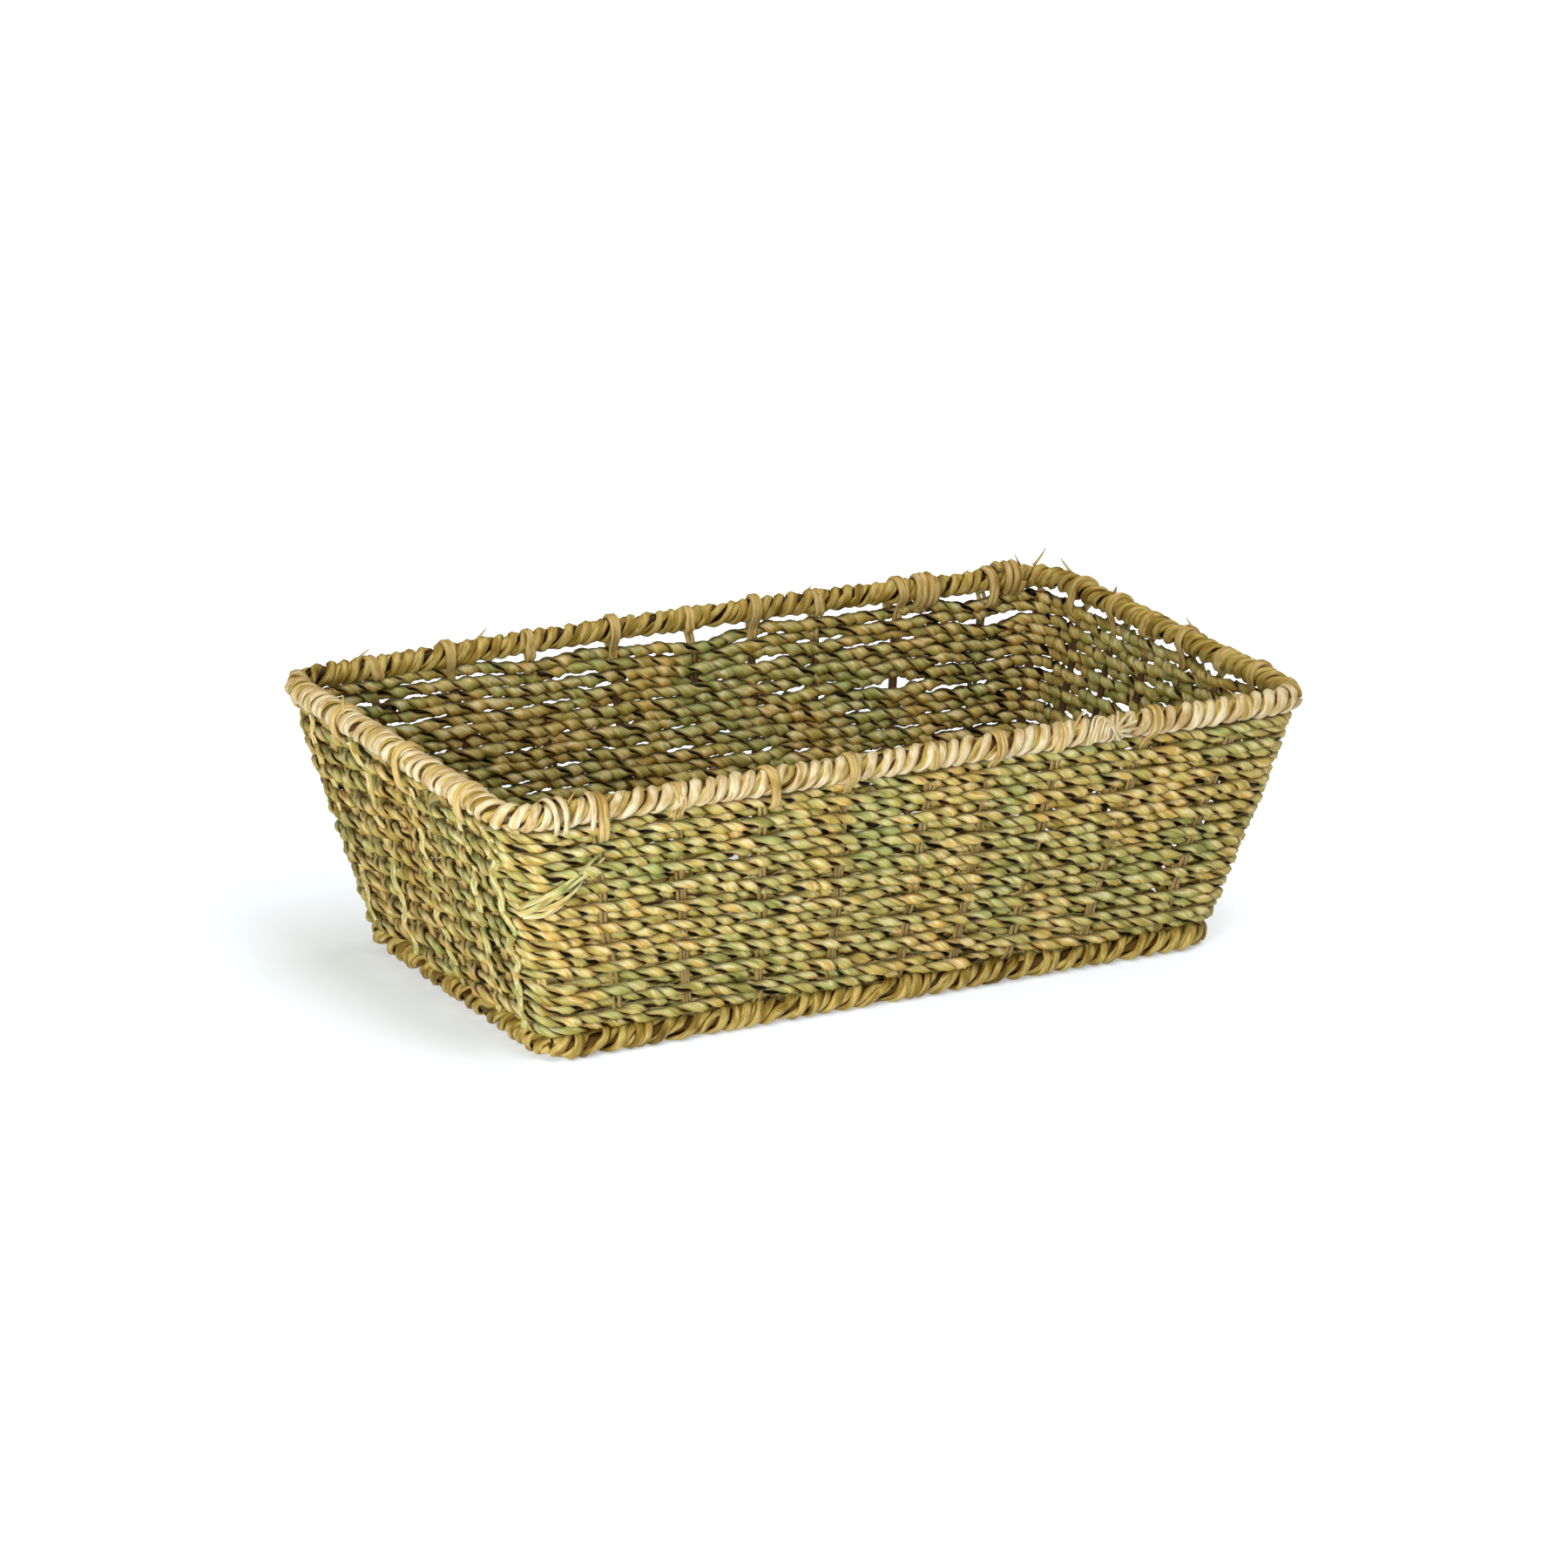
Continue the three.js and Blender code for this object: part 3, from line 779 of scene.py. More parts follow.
def row_lift(point, row):
    """How far a row lies above or below its level. Neighbouring rows wander together, and the lowest ones
    are pressed down on the foot."""
    broad = BROAD_WANDER * wobble(point.x * 16, point.y * 16, row * 0.16)
    fine = FINE_WANDER * wobble(point.x * 45, point.y * 45, row * 1.7 + 9)
    ripple = RIPPLE + BACK_RIPPLE * max(0, point.y / RIM.half_y)
    ripple *= wobble(point.x * 95, point.y * 95, row * 2.9 + 4)
    pressed = FOOT_PACKING * max(0, (PACKED_ROWS - row) / (PACKED_ROWS - 1)) ** 1.3
    return broad + fine + ripple + parting(point) - pressed - back_sag(point, row) + rim_bow(point)


def row_path(row):
    """One row's middle line, in and out of the uprights."""
    z = middle(f"weft_row_{row:02d}").z
    lengths = leg_lengths(z)
    starts = [sum(lengths[:leg]) for leg in range(8)]
    total = sum(lengths)
    passed = uprights(z)
    marks = [starts[leg] + t * lengths[leg] for leg, t in passed]
    sides = [upright_swing(row, number, leg) for number, (leg, _) in enumerate(passed)]
    marks.append(marks[0] + total)
    sides.append(sides[0])
    count = round(total / ROW_STEP)
    points, outs, girths = [], [], []
    for i in range(count):
        s = total * i / count
        leg = max(k for k in range(8) if starts[k] <= s + 1e-9)
        t = (s - starts[leg]) / lengths[leg]
        along = s if s >= marks[0] else s + total
        gap = max(k for k in range(len(marks) - 1) if marks[k] <= along)
        phase = (along - marks[gap]) / (marks[gap + 1] - marks[gap])
        swing = ROW_SWING * blend_number(sides[gap], sides[gap + 1], (1 - math.cos(math.pi * phase)) / 2)
        level, out = wall_place(leg, t, z)
        bulge = SIDE_BULGE * max(0, out.x) * math.sin(math.pi * rise(z))
        point, out = wall_place(leg, t, z + row_lift(level, row))
        points.append(point + out * (swing * wall_swing(out) + bulge))
        outs.append(out)
        far = (FAR_GIRTH + LOW_FAR_GIRTH * (1 - row / ROWS)) * max(0, out.y, 0.6 * out.x)
        girths.append(1 + far + ROW_UNEVENNESS * wobble(point.x * 65, point.y * 65, row * 2.3))
    return points, outs, True, girths


rope_tree = twisted_rope_tree()


def make_row(row):
    path = row_path(row)
    length = sum((a - b).length for a, b in zip(path[0], path[0][1:] + path[0][:1]))
    turns = round(length / TWIST_LENGTH * (1 + TWIST_SPREAD * wobble(row * 7.7, 0.5, 0.5)))
    sizes = {"Turns": float(turns), "Seed": row * 1.37}
    piece = join(f"rope_row_{row:02d}", grow(rope_tree, [path], rope_finish, sizes))
    place_piece(piece, "seagrass_rope", f"weft_row_{row:02d}")


for row in range(1, ROWS + 1):
    make_row(row)


# ---- rim and foot wrapping ----

SIDES = {"back": 0, "left": 1, "front": 2, "right": 3}
EDGE_STEP = 2 * MM


def edge_path(edge, side):
    """The middle line of one side of an edge, from corner middle to corner middle."""
    points, outs = [], []
    first = 2 * SIDES[side]
    legs = [(first, 0.5, 1.0), (first + 1, 0.0, 1.0), ((first + 2) % 8, 0.0, 0.5)]
    for leg, low, high in legs:
        count = max(2, round(leg_lengths(edge.z)[leg] * (high - low) / EDGE_STEP))
        for i in range(count + (leg == legs[-1][0])):
            point, out = wall_place(leg, blend_number(low, high, i / count), edge.z)
            points.append(point + Vector((0, 0, rim_bow(point))))
            outs.append(out)
    return points, outs, False


wrap_tree = wrapped_strands_tree()
laid_tree = laid_strands_tree()


def smooth_points(points, step):
    """A Catmull-Rom line through the points, as closely spaced points."""
    line = []
    last = len(points) - 1
    for i in range(last):
        p0, p1 = points[max(i - 1, 0)], points[i]
        p2, p3 = points[i + 1], points[min(i + 2, last)]
        count = max(1, round((p2 - p1).length / step))
        for k in range(count):
            t = k / count
            line.append(0.5 * (2 * p1 + (p2 - p0) * t + (2 * p0 - 5 * p1 + 4 * p2 - p3) * t ** 2
                               + (3 * p1 - p0 - 3 * p2 + p3) * t ** 3))
    line.append(points[-1])
    return line


def facing(points, width_axis):
    """The direction that faces out of a flat bundle, square to the path and to its width."""
    outs = []
    for i in range(len(points)):
        tangent = points[min(i + 1, len(points) - 1)] - points[max(i - 1, 0)]
        outs.append(tangent.cross(width_axis).normalized())
    return outs


RIM_WRAPS = [
    {"Starts": 3, "Lead": -22 * MM, "Core radius": 3.9 * MM, "Strand thickness": 0.85 * MM,
     "Strand width": 1.9 * MM, "Lift": 0.25 * MM},
    {"Starts": 2, "Lead": -13.4 * MM, "Core radius": 4.25 * MM, "Strand thickness": 1.3 * MM,
     "Strand width": 2.2 * MM, "Drift": 3.0, "Stray": 1.15, "Lift": 0.6 * MM, "Unevenness": 0.3},
]
FOOT_WRAPS = [
    {"Starts": 3, "Lead": -28 * MM, "Core radius": 3.5 * MM, "Strand thickness": 0.9 * MM,
     "Strand width": 1.7 * MM, "Step": 0.8 * MM, "Lift": 0.3 * MM, "Corners": 8},
    {"Starts": 2, "Lead": -17 * MM, "Core radius": 4.15 * MM, "Strand thickness": 1.2 * MM,
     "Strand width": 2.0 * MM, "Step": 0.5 * MM, "Drift": 4.4, "Stray": 1.5, "Lift": 0.7 * MM,
     "Unevenness": 0.25},
]
FOOT_LIFT = 0.9 * MM
CORE_BUNDLE = {"Strands": 1, "Wander": 0.0, "Corners": 10}
FAR_SIZE = 0.93
# On each side: the place along it, the length and the rise of each end, in mm.
LOOSE_ENDS = {
    "back": [(-97, 6, 5), (172, -5, 5), (178, 5, 6), (60, 5, 4), (-150, 5, 3)],
    "left": [(40, 5, 4), (-70, -5, 3)],
    "front": [(-160, 5, 3), (70, 6, 4), (150, -5, 3)],
    "right": [(84, 6, 4), (-16, 6, 4), (50, -5, 3)],
}
END_SIZES = {"Step": 0.8 * MM, "Strands": 1, "Strand thickness": 0.55 * MM, "Strand width": 1.1 * MM,
             "Taper": 0.7}


def loose_ends(side):
    """Ends of the wound strand that stick up from one side of the rim."""
    meshes = []
    along_y = side in ("left", "right")
    sign = 1 if side in ("back", "right") else -1
    for number, (place, length, rise) in enumerate(LOOSE_ENDS[side]):
        points = []
        for t, reach in ((0, 3.2), (0.35, 5.6), (0.7, 5.8 + rise * 0.45), (1, 5.4 + rise)):
            away = sign * (RIM.half_x if along_y else RIM.half_y) + sign * (2.4 - 2 * t) * MM
            spot = (place + length * t) * MM
            z = RIM.z + reach * MM
            points.append(Vector((away, spot, z)) if along_y else Vector((spot, away, z)))
        line = smooth_points(points, 1 * MM)
        width_axis = Vector((1, 0, 0)) if along_y else Vector((0, 1, 0))
        path = (line, facing(line, width_axis), False)
        meshes += grow(laid_tree, [path], twine_finish, {**END_SIZES, "Seed": 5.0 + number})
    return meshes


def over_rim(middle_x, along, degrees, clear):
    """A point over the front rim, at an angle above its outer face."""
    angle = math.radians(degrees)
    radius = RIM_RADIUS + clear * MM
    out, up = radius * math.cos(angle), radius * math.sin(angle)
    return Vector((middle_x + along * MM, -RIM.half_y - out, RIM.z + up))


def rim_strand(points, sizes):
    """A flat strand that lies on the front rim along these points."""
    line = smooth_points(points, 1 * MM)
    outs = [(point - Vector((point.x, -RIM.half_y, RIM.z))).normalized() for point in line]
    return grow(laid_tree, [(line, outs, False)], rim_finish, sizes)


FOLDED_PLACES = [(-167.0, 1.0), (-162.0, 0.4), (-149.0, -0.6)]  # mm along the front, lean
# Along the rim in mm, up from its front in degrees, clear of it in mm.
FOLD_SHAPE = (
    (-1.5, 150, -0.2), (-0.5, 100, 0.5), (0.5, 55, 0.6), (1.0, 15, 0.7), (1.2, -20, 1.0), (1.0, -48, 2.6),
)
FOLD_SIZES = {**END_SIZES, "Strand thickness": 0.8 * MM, "Strand width": 1.6 * MM, "Taper": 0.25}


def folded_ends():
    """Flat strands folded down over the front rim, close to the left corner."""
    meshes = []
    for number, (place, lean) in enumerate(FOLDED_PLACES):
        points = [over_rim(place * MM, lean * along, up, clear) for along, up, clear in FOLD_SHAPE]
        meshes += rim_strand(points, {**FOLD_SIZES, "Seed": 7.0 + number})
    return meshes


def make_wrap(kind, side, edge, wraps, finish, core, seed):
    """The strands round one side of the rim or the foot. The rim's far sides are wound a little thinner."""
    points, outs, closed = edge_path(edge, side)
    if kind == "foot":
        points = [point + Vector((0, 0, FOOT_LIFT)) for point in points]
    girth = FAR_SIZE if kind == "rim" and side in ("back", "right") else 1.0
    path = (points, outs, closed, [girth] * len(points))
    meshes = []
    for layer, wrap in enumerate(wraps):
        sizes = {**wrap, "Core radius": wrap["Core radius"] * girth, "Seed": seed + 30 * layer}
        # The rim's under layer takes the darker straw, painted shade where it shows between the outer
        # wraps.
        under = foot_finish if kind == "rim" else olive_finish
        meshes += grow(wrap_tree, [path], finish if layer else under, sizes)
    if kind == "rim":
        meshes += loose_ends(side)
    if (kind, side) == ("rim", "front"):
        meshes += folded_ends()
    bundle = {**CORE_BUNDLE, "Strand thickness": core, "Strand width": core}
    meshes += grow(laid_tree, [path], core_finish, bundle)
    place_piece(join(f"{kind}_wrapping_{side}", meshes), f"{kind}_straw", f"{kind}_wrap_{side}")


for number, side in enumerate(SIDES):
    finish = rim_finish if side in ("front", "left") else olive_finish
    make_wrap("rim", side, RIM, RIM_WRAPS, finish, 3.5 * MM, 3.1 + number)
    make_wrap("foot", side, FOOT, FOOT_WRAPS, foot_finish, 3.0 * MM, 11.3 + number)


# ---- stakes ----

STAKE_RIM_CLEAR = 5.6 * MM
TUCKED_CLEAR = 4.5 * MM
STAKE_FOOT_CLEAR = 5.6 * MM
FOOT_BEND_UP = 8 * MM
RIM_BEND_DOWN = 10.5 * MM
FOOT_STEPS = 3
HOOK_STEPS = 10
OUTER_HOOK_END = 185
INNER_HOOK_END = -5
TUCKED_DROP = 0.5
HOOK_TAIL = ((5, 6.1), (9, 5.8), (12, 4.7), (13.6, 2.4))  # mm below the rim, mm from the wall
QUARTERS = (0.25, 0.5, 0.75)
STAKE_SIZES = {"Strands": 3, "Spacing": 1.35 * MM, "Strand thickness": 0.8 * MM, "Strand width": 0.85 * MM,
               "Wander": 0.9 * MM}
PAIRED_SIZES = {**STAKE_SIZES, "Strands": 2, "Spacing": 2.1 * MM, "Strand width": 1.1 * MM,
                "Wander": 1.1 * MM}
HOOK_DROPS = (1.0, 0.35, 0.8, 0.75, 0.3, 1.1, 0.45, 0.65, 0.3)
STAKE_SWAY = 2.6 * MM
LONG_STAKE_RISE = 2.1 * MM
HOOK_LEANS = (1.5 * MM, -2.5 * MM, 3.0 * MM, 0.5 * MM, -1.5 * MM)


def around(centre, radius, start, turn, end_degrees, steps):
    """Points from the tangent of a starting point round a circle, in one plane."""
    reach = start - centre
    first = math.atan2(reach.y, reach.x) + turn * math.acos(radius / reach.length)
    sweep = turn * ((turn * (math.radians(end_degrees) - first)) % TURN)
    angles = [first + sweep * i / steps for i in range(steps + 1)]
    return [centre + radius * Vector((math.cos(a), math.sin(a))) for a in angles]


def stake_arm(reach, run_z, side, drop, lean):
    """One arm of a stake in its wall's own plane, x outward and y up, from the base to the hook's tip,
    with the strands' relative size and sideways shift at each point. It passes the rim on the hook's side,
    leans as it goes over it and comes down over the top row."""
    foot = Vector((reach(FOOT.z), FOOT.z))
    rim = Vector((reach(RIM.z), RIM.z))
    low = Vector((reach(FOOT.z + FOOT_BEND_UP), FOOT.z + FOOT_BEND_UP))
    high = Vector((reach(RIM.z - RIM_BEND_DOWN), RIM.z - RIM_BEND_DOWN))
    down = around(foot, STAKE_FOOT_CLEAR, low, 1, 165 if run_z <= FOOT.z else 150, FOOT_STEPS)
    inner = Vector((foot.x - STAKE_FOOT_CLEAR - 3 * MM, run_z))
    clear = STAKE_RIM_CLEAR if drop > TUCKED_DROP else TUCKED_CLEAR
    hook = around(rim, clear, high, side, OUTER_HOOK_END if side > 0 else INNER_HOOK_END, HOOK_STEPS)
    between = [low.lerp(high, t) for t in QUARTERS]
    tail = []
    for fall, stand in HOOK_TAIL:
        z = RIM.z - fall * MM * drop
        tail.append(Vector((reach(z) - side * stand * MM * clear / STAKE_RIM_CLEAR, z)))
    upright = [inner, *reversed(down), low, *between, high]
    points = [*upright, *hook, *tail]
    girths = [1.0] * len(upright) + [1.1, 1.25] + [1.35] * (len(hook) - 1) + [1.3, 1.2, 0.9]
    shifts = [lean * clamp((i - len(upright)) / len(hook)) for i in range(len(points))]
    return points, girths, shifts


def stake_path(reach, run_z, hook_sides, index, put, width_axis):
    """A whole stake's line and sizes, hook to hook. `put` turns (outward, height, side) into a point."""
    arms = []
    for end, side in enumerate(hook_sides):
        drop = HOOK_DROPS[(index + 4 * end) % len(HOOK_DROPS)]
        lean = HOOK_LEANS[(index + 2 * end) % len(HOOK_LEANS)]
        points, girths, shifts = stake_arm(reach, run_z, side, drop, lean)
        points = [put(p.x, p.y, 2 * end - 1) + width_axis * shift for p, shift in zip(points, shifts)]
        arms.append(([p + Vector((0, 0, rim_bow(p))) for p in points], girths))
    (first, first_girths), (second, second_girths) = arms
    across = [first[0].lerp(second[0], t) for t in QUARTERS]
    knots = [*reversed(first), *across, *second]
    girths = [*reversed(first_girths), 1.0, 1.0, 1.0, *second_girths]
    with_girths = [Vector((*p, g * MM)) for p, g in zip(knots, girths)]
    line = smooth_points(with_girths, 1.6 * MM)
    return [p.xyz for p in line], [p.w / MM for p in line]


def upright_number(wall, index):
    """An upright's number in the order that the rows pass them."""
    return {
        "back": 1 + (CROSS_STAKES - 1 - index),
        "left": 2 + CROSS_STAKES + (LONG_STAKES - 1 - index),
        "front": 3 + CROSS_STAKES + LONG_STAKES + index,
        "right": 4 + 2 * CROSS_STAKES + LONG_STAKES + index,
    }[wall]


def hook_side(wall, index):
    return -row_side(ROWS, upright_number(wall, index))


def fan(fraction, z, half):
    """A stake's place along its wall at height z."""
    held = clamp(z, FOOT.z, RIM.z)
    sway = STAKE_SWAY * wobble(fraction * 31, half * 9.3, held * 24)
    return fraction * wall_size(held)[half] + sway * math.sin(math.pi * rise(held))


def make_stakes(kind, places, axis, run_z, walls, first, seed):
    """Stakes that stand at these places along one axis, 0 or 1, in both of the walls that run along it."""
    width_axis = Vector((1 - axis, axis, 0))
    for index, place in enumerate(places):
        def put(out, z, side):
            spot = (fan(place, z, axis), side * out)
            return Vector((spot[axis], spot[1 - axis], z))

        hook_sides = [hook_side(wall, index) for wall in walls]
        points, girths = stake_path(
            lambda z: wall_size(z)[1 - axis], run_z, hook_sides, first + index, put, width_axis,
        )
        path = (points, facing(points, width_axis), False, girths)
        sizes = {**(STAKE_SIZES if index % 2 else PAIRED_SIZES), "Seed": seed + index}
        piece = join(f"{kind}_strands_{index + 1}", grow(laid_tree, [path], twine_finish, sizes))
        place_piece(piece, "stake_twine", f"{kind}_{index + 1}")


make_stakes("cross_stake", CROSS_PLACES, 0, FOOT.z, ("front", "back"), 0, 20.0)
make_stakes("long_stake", LONG_PLACES, 1, FOOT.z + LONG_STAKE_RISE, ("left", "right"), 3, 40.0)


# ---- corner posts ----

POST_OUTSET = 0.6 * MM
POST_POINTS = 41
CORNER_NAMES = ["back_right", "back_left", "front_left", "front_right"]
RIDGE_PLACES = [(-0.86, 1.25), (-0.6, 1.0), (-0.12, 0.9), (0.33, 1.0), (0.78, 0.9)]  # along the wall, girth
RIDGE_POINTS = 25
RIDGE_SIZES = {**STAKE_SIZES, "Strands": 2, "Spacing": 1.9 * MM, "Strand width": 1.35 * MM,
               "Wander": 1.4 * MM, "Seed": 71.0}


def ridge(place, girth):
    """A path down the outside of the left wall, over the rows."""
    points = []
    for i in range(RIDGE_POINTS):
        z = blend_number(RIM.z - 7 * MM, FOOT.z + 7 * MM, i / (RIDGE_POINTS - 1))
        half_x, half_y, _ = wall_size(z)
        wander = 6.0 * wobble(z * 85, place * 3, 0.4)
        depth = 3.0 + 2.8 * wobble(z * 130, place * 7, 2.2)
        points.append(Vector((-half_x - depth * MM, place * half_y + wander * MM, z)))
    line = smooth_points(points, 1.6 * MM)
    return line, [Vector((-1, 0, 0))] * len(line), False, [girth] * len(line)


FRAYED_BLADES = 7
# Share of the length, mm out of the wall, mm down.
FRAY_SHAPE = ((0, 1.0, 0), (0.3, 4.0, 1.8), (0.65, 4.6, 1.2), (1, 2.0, 0))
FRAY_SIZES = {**END_SIZES, "Strand thickness": 0.6 * MM, "Strand width": 1.5 * MM, "Taper": 0.6,
              "Wander": 1.6 * MM, "Seed": 83.0}


def frays():
    """Loose blades that lie across the front rows near the corner, from a rope that has come undone."""
    lines = []
    for i in range(FRAYED_BLADES):
        stray = wobble(i * 1.9, 0.4, 0.4)
        start = Vector((-173 + 6 * stray, 68 + 1.2 * i))
        end = Vector((-152 + 2.4 * i - 8 * abs(stray), 76 + 2.6 * i - 7 * stray))
        points = []
        for t, clear, drop in FRAY_SHAPE:
            x, z = (start.lerp(end, t) - Vector((0, drop * (1 + stray)))) * MM
            points.append(Vector((x, -wall_size(z)[1] - clear * MM, z)))
        line = smooth_points(points, 1.2 * MM)
        lines.append((line, [Vector((0, -1, 0))] * len(line), False))
    return grow(laid_tree, lines, ridge_finish, FRAY_SIZES)


def make_post(index):
    """A corner's upright strands. The front left one also has the loose strands near it."""
    bottom, out = wall_place(2 * index, 0.5, FOOT.z + 5 * MM)
    top, _ = wall_place(2 * index, 0.5, RIM.z - 5 * MM)
    points = [bottom.lerp(top, i / (POST_POINTS - 1)) + out * POST_OUTSET for i in range(POST_POINTS)]
    path = (points, [out] * POST_POINTS, False)
    sizes = {**STAKE_SIZES, "Spacing": 1.2 * MM, "Seed": 60.0 + index}
    meshes = grow(laid_tree, [path], twine_finish, sizes)
    if CORNER_NAMES[index] == "front_left":
        for place in RIDGE_PLACES:
            meshes += grow(laid_tree, [ridge(*place)], ridge_finish, RIDGE_SIZES)
        meshes += frays()
    piece = join(f"corner_strands_{CORNER_NAMES[index]}", meshes)
    place_piece(piece, "stake_twine", f"corner_post_{CORNER_NAMES[index]}")


for index in range(4):
    make_post(index)


# ---- base rope ----

BASE_SWING = 2.3 * MM
BASE_TURN_DROP = 1 * MM
ROPE_PITCH = 4.5 * MM
RUN_GAP = 0.3 * MM


def base_run_places():
    """The runs' places across the base, spread evenly in each space between the long stakes."""
    low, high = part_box("base_rope")
    edge = high.y
    border = edge + STAKE_WIDTH / 2
    edges = [-border, *(place * FOOT.half_y for place in LONG_PLACES), border]
    places = []
    for left, right in zip(edges, edges[1:]):
        start = left + STAKE_WIDTH / 2
        width = right - left - STAKE_WIDTH
        count = int((width - RUN_GAP) / ROPE_PITCH)
        places.extend(start + (run + 0.5) * width / count for run in range(count))
    return places


def make_base_rope():
    """One rope laid to and fro over and under the cross stakes."""
    turn_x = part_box("base_rope")[1].x - 2 * MM
    knots = []
    for run, y in enumerate(base_run_places()):
        crossings = [
            Vector((place * FOOT.half_x, y, FOOT.z + BASE_SWING * row_side(run, index)))
            for index, place in enumerate(CROSS_PLACES)
        ]
        turns = [Vector((x, y, FOOT.z - BASE_TURN_DROP)) for x in (-turn_x, turn_x)]
        row = [turns[0], *crossings, turns[1]]
        knots.extend(row if run % 2 == 0 else reversed(row))
    points = smooth_points(knots, 3 * MM)
    length = sum((a - b).length for a, b in zip(points, points[1:]))
    path = (points, [Vector((0, 0, 1))] * len(points), False)
    sizes = {"Turns": length / TWIST_LENGTH, "Seed": 77.0, "Step": 1.5 * MM, "Corners": 8}
    piece = join("base_weave", grow(rope_tree, [path], rope_finish, sizes))
    place_piece(piece, "seagrass_rope", "base_rope")


make_base_rope()


# ---- splice knots and loose ends ----

KNOT_SIZES = {
    "Core radius": 6.7 * MM, "Lead": -6.6 * MM, "Starts": 2, "Strand thickness": 1.3 * MM,
    "Strand width": 1.8 * MM, "Unevenness": 0.2,
}
KNOT_POINTS = 13


def make_knot(number):
    """Extra turns of the strand, wound over the rim wrapping where one strand takes over from another."""
    low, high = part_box(f"rim_knot_{number}")
    centre = (low + high) / 2
    side = math.copysign(1, centre.y)
    places = [blend_number(low.x, high.x, i / (KNOT_POINTS - 1)) for i in range(KNOT_POINTS)]
    points = [Vector((x, side * RIM.half_y, RIM.z)) for x in places]
    path = (points, [Vector((0, side, 0))] * KNOT_POINTS, False)
    turns = grow(wrap_tree, [path], twine_finish, {**KNOT_SIZES, "Seed": 90.0 + number})
    place_piece(join(f"splice_knot_{number}", turns), "rim_straw", f"rim_knot_{number}")


ROSETTE_SIZES = {"Step": 0.8 * MM, "Strands": 1, "Strand thickness": 0.6 * MM, "Strand width": 0.95 * MM,
                 "Wander": 0.3 * MM, "Taper": 0.35}
# Along the rim in mm, up from its front in degrees.
ARCH = ((-13, -38), (-11.5, 25), (-6.5, 78), (-1.5, 34), (0.5, -14))
ARCHES = 6
ARCH_SHRINK = 0.13
RAYS = ((4, 86), (8, 62), (10, 30), (10.5, 2), (8, -30), (3.5, -52), (-2.5, -50))


def make_rosette(number):
    """The knot at the front: strands that arch over the rim into one place and fan out of it again."""
    low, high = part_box(f"rim_knot_{number}")
    middle_x = (low.x + high.x) / 2
    lines = []
    for i in range(ARCHES):
        size = 1 - ARCH_SHRINK * i
        scales = ((size, size), (size, size), (size, size), (1, size), (1, 1))
        arch = [(along * wide, up * tall) for (along, up), (wide, tall) in zip(ARCH, scales)]
        lines.append([over_rim(middle_x, along, up, 0.2 + 0.12 * i) for along, up in arch])
    for i, (along, up) in enumerate(RAYS):
        ray = ((-0.5, 2), (along * 0.45, up * 0.62), (along, up))
        lines.append([over_rim(middle_x, *spot, 0.5 - 0.1 * i) for spot in ray])
    meshes = []
    for i, points in enumerate(lines):
        meshes += rim_strand(points, {**ROSETTE_SIZES, "Seed": 96.0 + i})
    place_piece(join(f"splice_knot_{number}", meshes), "rim_straw", f"rim_knot_{number}")


make_rosette(1)
for number in (2, 3):
    make_knot(number)


# ---- floor, light and camera ----

RIM_LENGTH = 2 * RIM.half_x
AZIMUTH = math.radians(-29.74)
ELEVATION = math.radians(18.23)
ROLL = math.radians(1.19)
DISTANCE = 6.945 * RIM_LENGTH
AIM_UP = 0.1677 * RIM_LENGTH
AIM_RIGHT = -0.0107 * RIM_LENGTH
SENSOR = 36
LENS = 140.6


CLIP_END = 20
FLOOR_HALF = 3
FLOOR_COLOR = (0.74, 0.82, 0.98, 1)
AMBIENT = (0.23, 0.2, 0.085)
# Name, place, aim, size, power and colour.
LIGHTS = [
    ("key", (-0.85, -0.6, 0.24), (-0.05, -0.05, 0.06), 0.4, 10.3, (0.96, 0.99, 1)),
    ("top", (0.4, 0.0, 1.55), (0, 0, 0), 1.5, 18.0, (1, 0.99, 0.95)),
    ("fill", (0.1, -0.95, 1.25), (0, 0, 0.08), 0.8, 8.6, (1, 1, 0.98)),
]


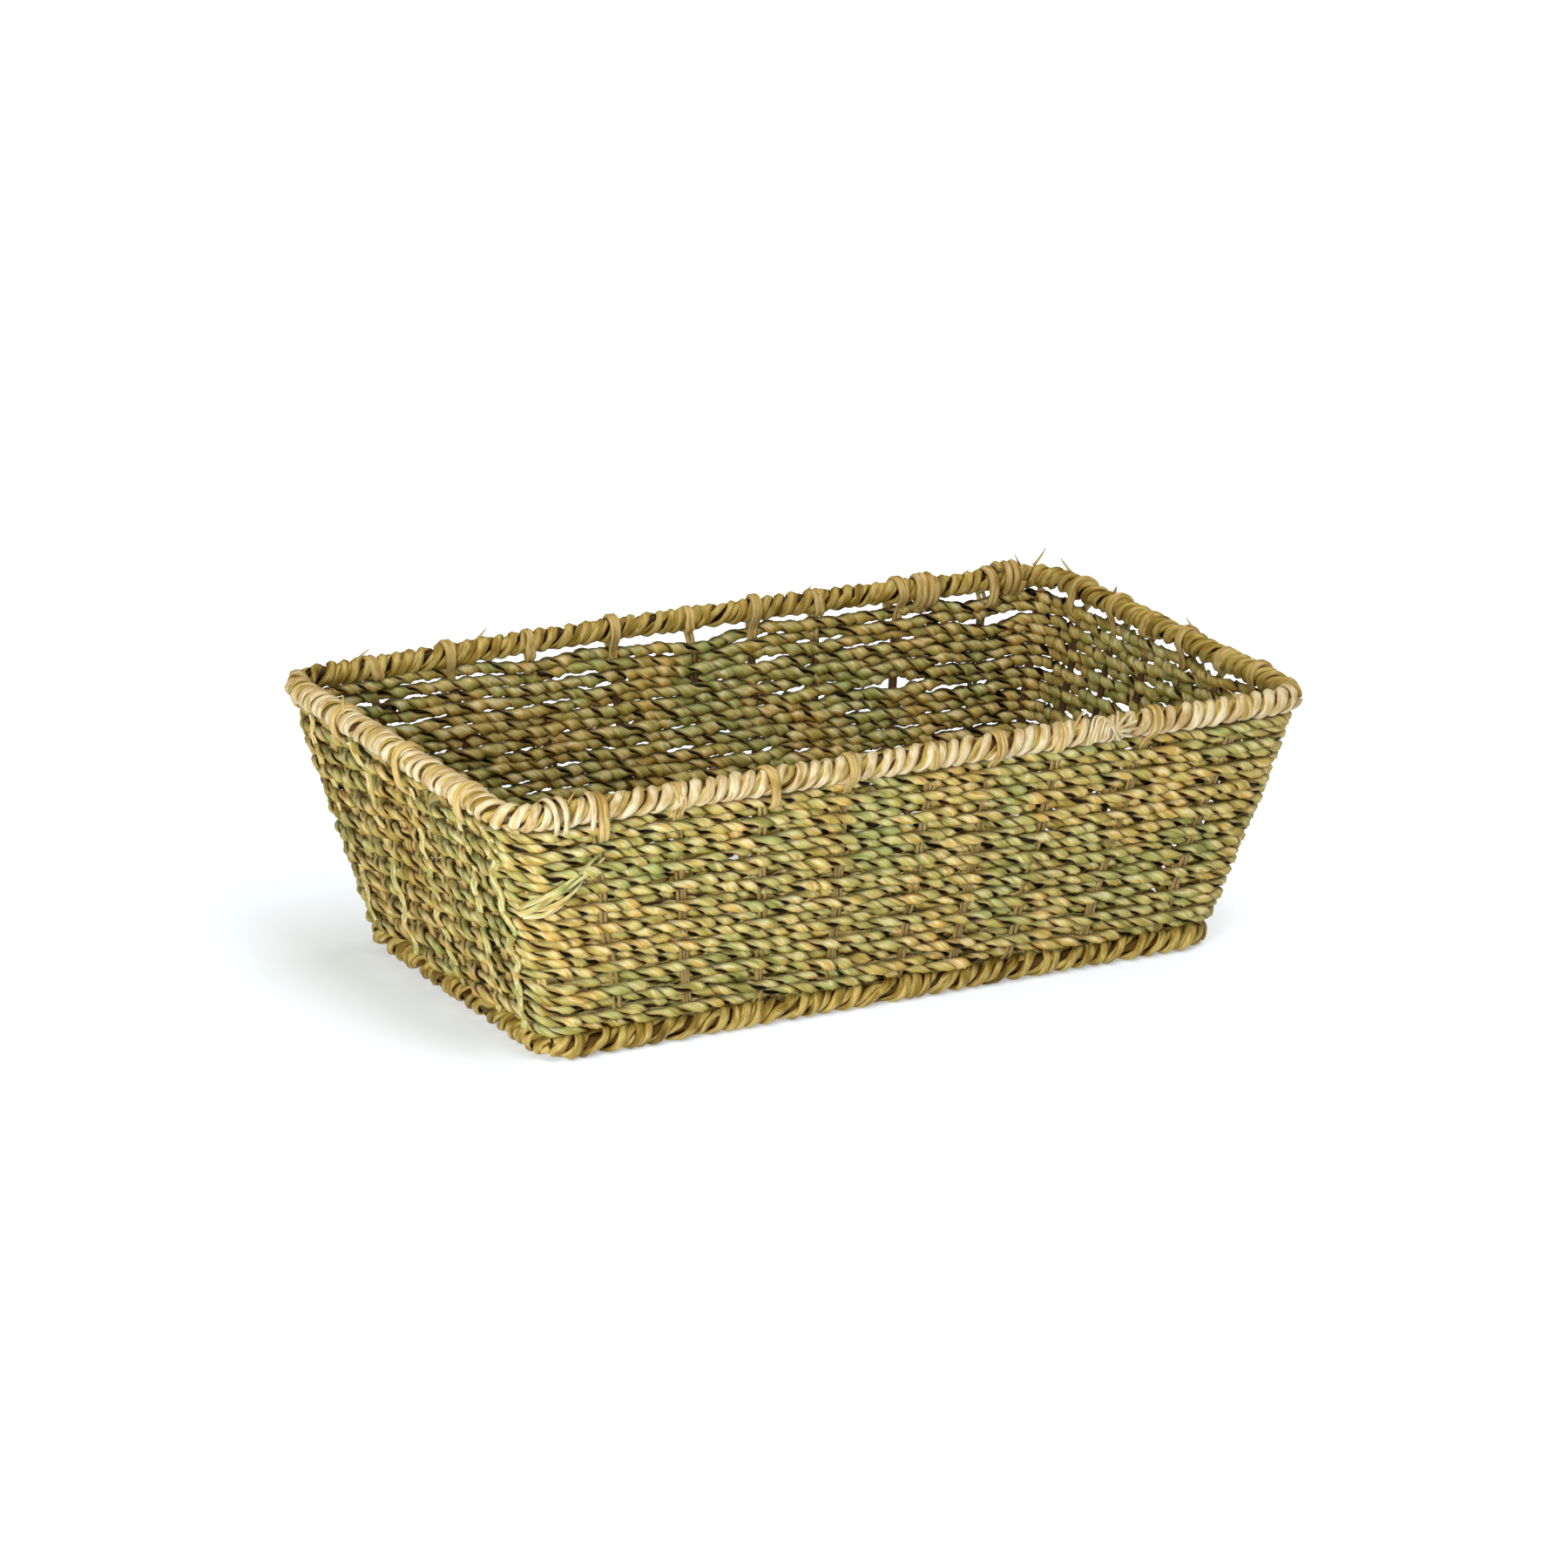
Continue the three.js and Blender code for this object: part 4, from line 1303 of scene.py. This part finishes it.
def make_camera():
    back = Vector((
        math.sin(AZIMUTH) * math.cos(ELEVATION),
        -math.cos(AZIMUTH) * math.cos(ELEVATION),
        math.sin(ELEVATION),
    ))
    right = Vector((math.cos(AZIMUTH), math.sin(AZIMUTH), 0))
    up = back.cross(right)
    place = Vector((0, 0, FOOT.z)) + back * DISTANCE + right * AIM_RIGHT + up * AIM_UP
    turned_right = right * math.cos(ROLL) + up * math.sin(ROLL)
    turned_up = up * math.cos(ROLL) - right * math.sin(ROLL)
    data = bpy.data.cameras.new("camera")
    data.lens = LENS
    data.sensor_width = SENSOR
    data.clip_end = CLIP_END
    camera = bpy.data.objects.new("camera", data)
    axes = Matrix((turned_right, turned_up, back)).transposed().to_4x4()
    camera.matrix_world = Matrix.Translation(place) @ axes
    bpy.context.scene.collection.objects.link(camera)
    bpy.context.scene.camera = camera


def make_floor():
    """A pale floor that glows away from the basket, so that it has no far edge."""
    mesh = bpy.data.meshes.new("floor")
    corners = [(x * FLOOR_HALF, y * FLOOR_HALF, 0) for x, y in CORNER_SIGNS]
    mesh.from_pydata(corners, [], [(0, 1, 2, 3)])
    tree = Paint("pale floor")
    away = tree.number("ShaderNodeVectorMath", {"operation": "LENGTH"}, {0: tree.spot}, 1)
    glow = tree.number("ShaderNodeMapRange", {"interpolation_type": "SMOOTHSTEP"}, {
        "Value": away, "From Min": 0.25, "From Max": 0.8, "To Min": 0.34, "To Max": 1.0,
    })
    tree.paint(
        Base_Color=FLOOR_COLOR,
        Roughness=0.9,
        Specular_IOR_Level=0.1,
        Emission_Color=tree.combine(glow, glow, glow),
        Emission_Strength=1.0,
    )
    mesh.materials.append(tree.material)
    floor = bpy.data.objects.new("floor", mesh)
    bpy.context.scene.collection.objects.link(floor)


def make_light(name, place, aim, size, power, color):
    data = bpy.data.lights.new(name, "AREA")
    data.shape = "SQUARE"
    data.size = size
    data.energy = power
    data.color = color
    lamp = bpy.data.objects.new(name, data)
    turn = (Vector(aim) - Vector(place)).to_track_quat("-Z", "Y").to_matrix().to_4x4()
    lamp.matrix_world = Matrix.Translation(place) @ turn
    bpy.context.scene.collection.objects.link(lamp)


def make_world():
    """A dim warm sky that the camera sees as white."""
    world = bpy.data.worlds.new("studio")
    world.use_nodes = True
    tree = Tree(world.node_tree)
    seen = tree.number("ShaderNodeLightPath")
    sky = tree.combine(*(seen * (1 - part) + part for part in AMBIENT))
    tree.feed(world.node_tree.nodes["Background"].inputs["Color"], sky)
    bpy.context.scene.world = world


make_camera()
make_floor()
for light in LIGHTS:
    make_light(*light)
make_world()
bpy.context.scene.view_settings.view_transform = "Standard"
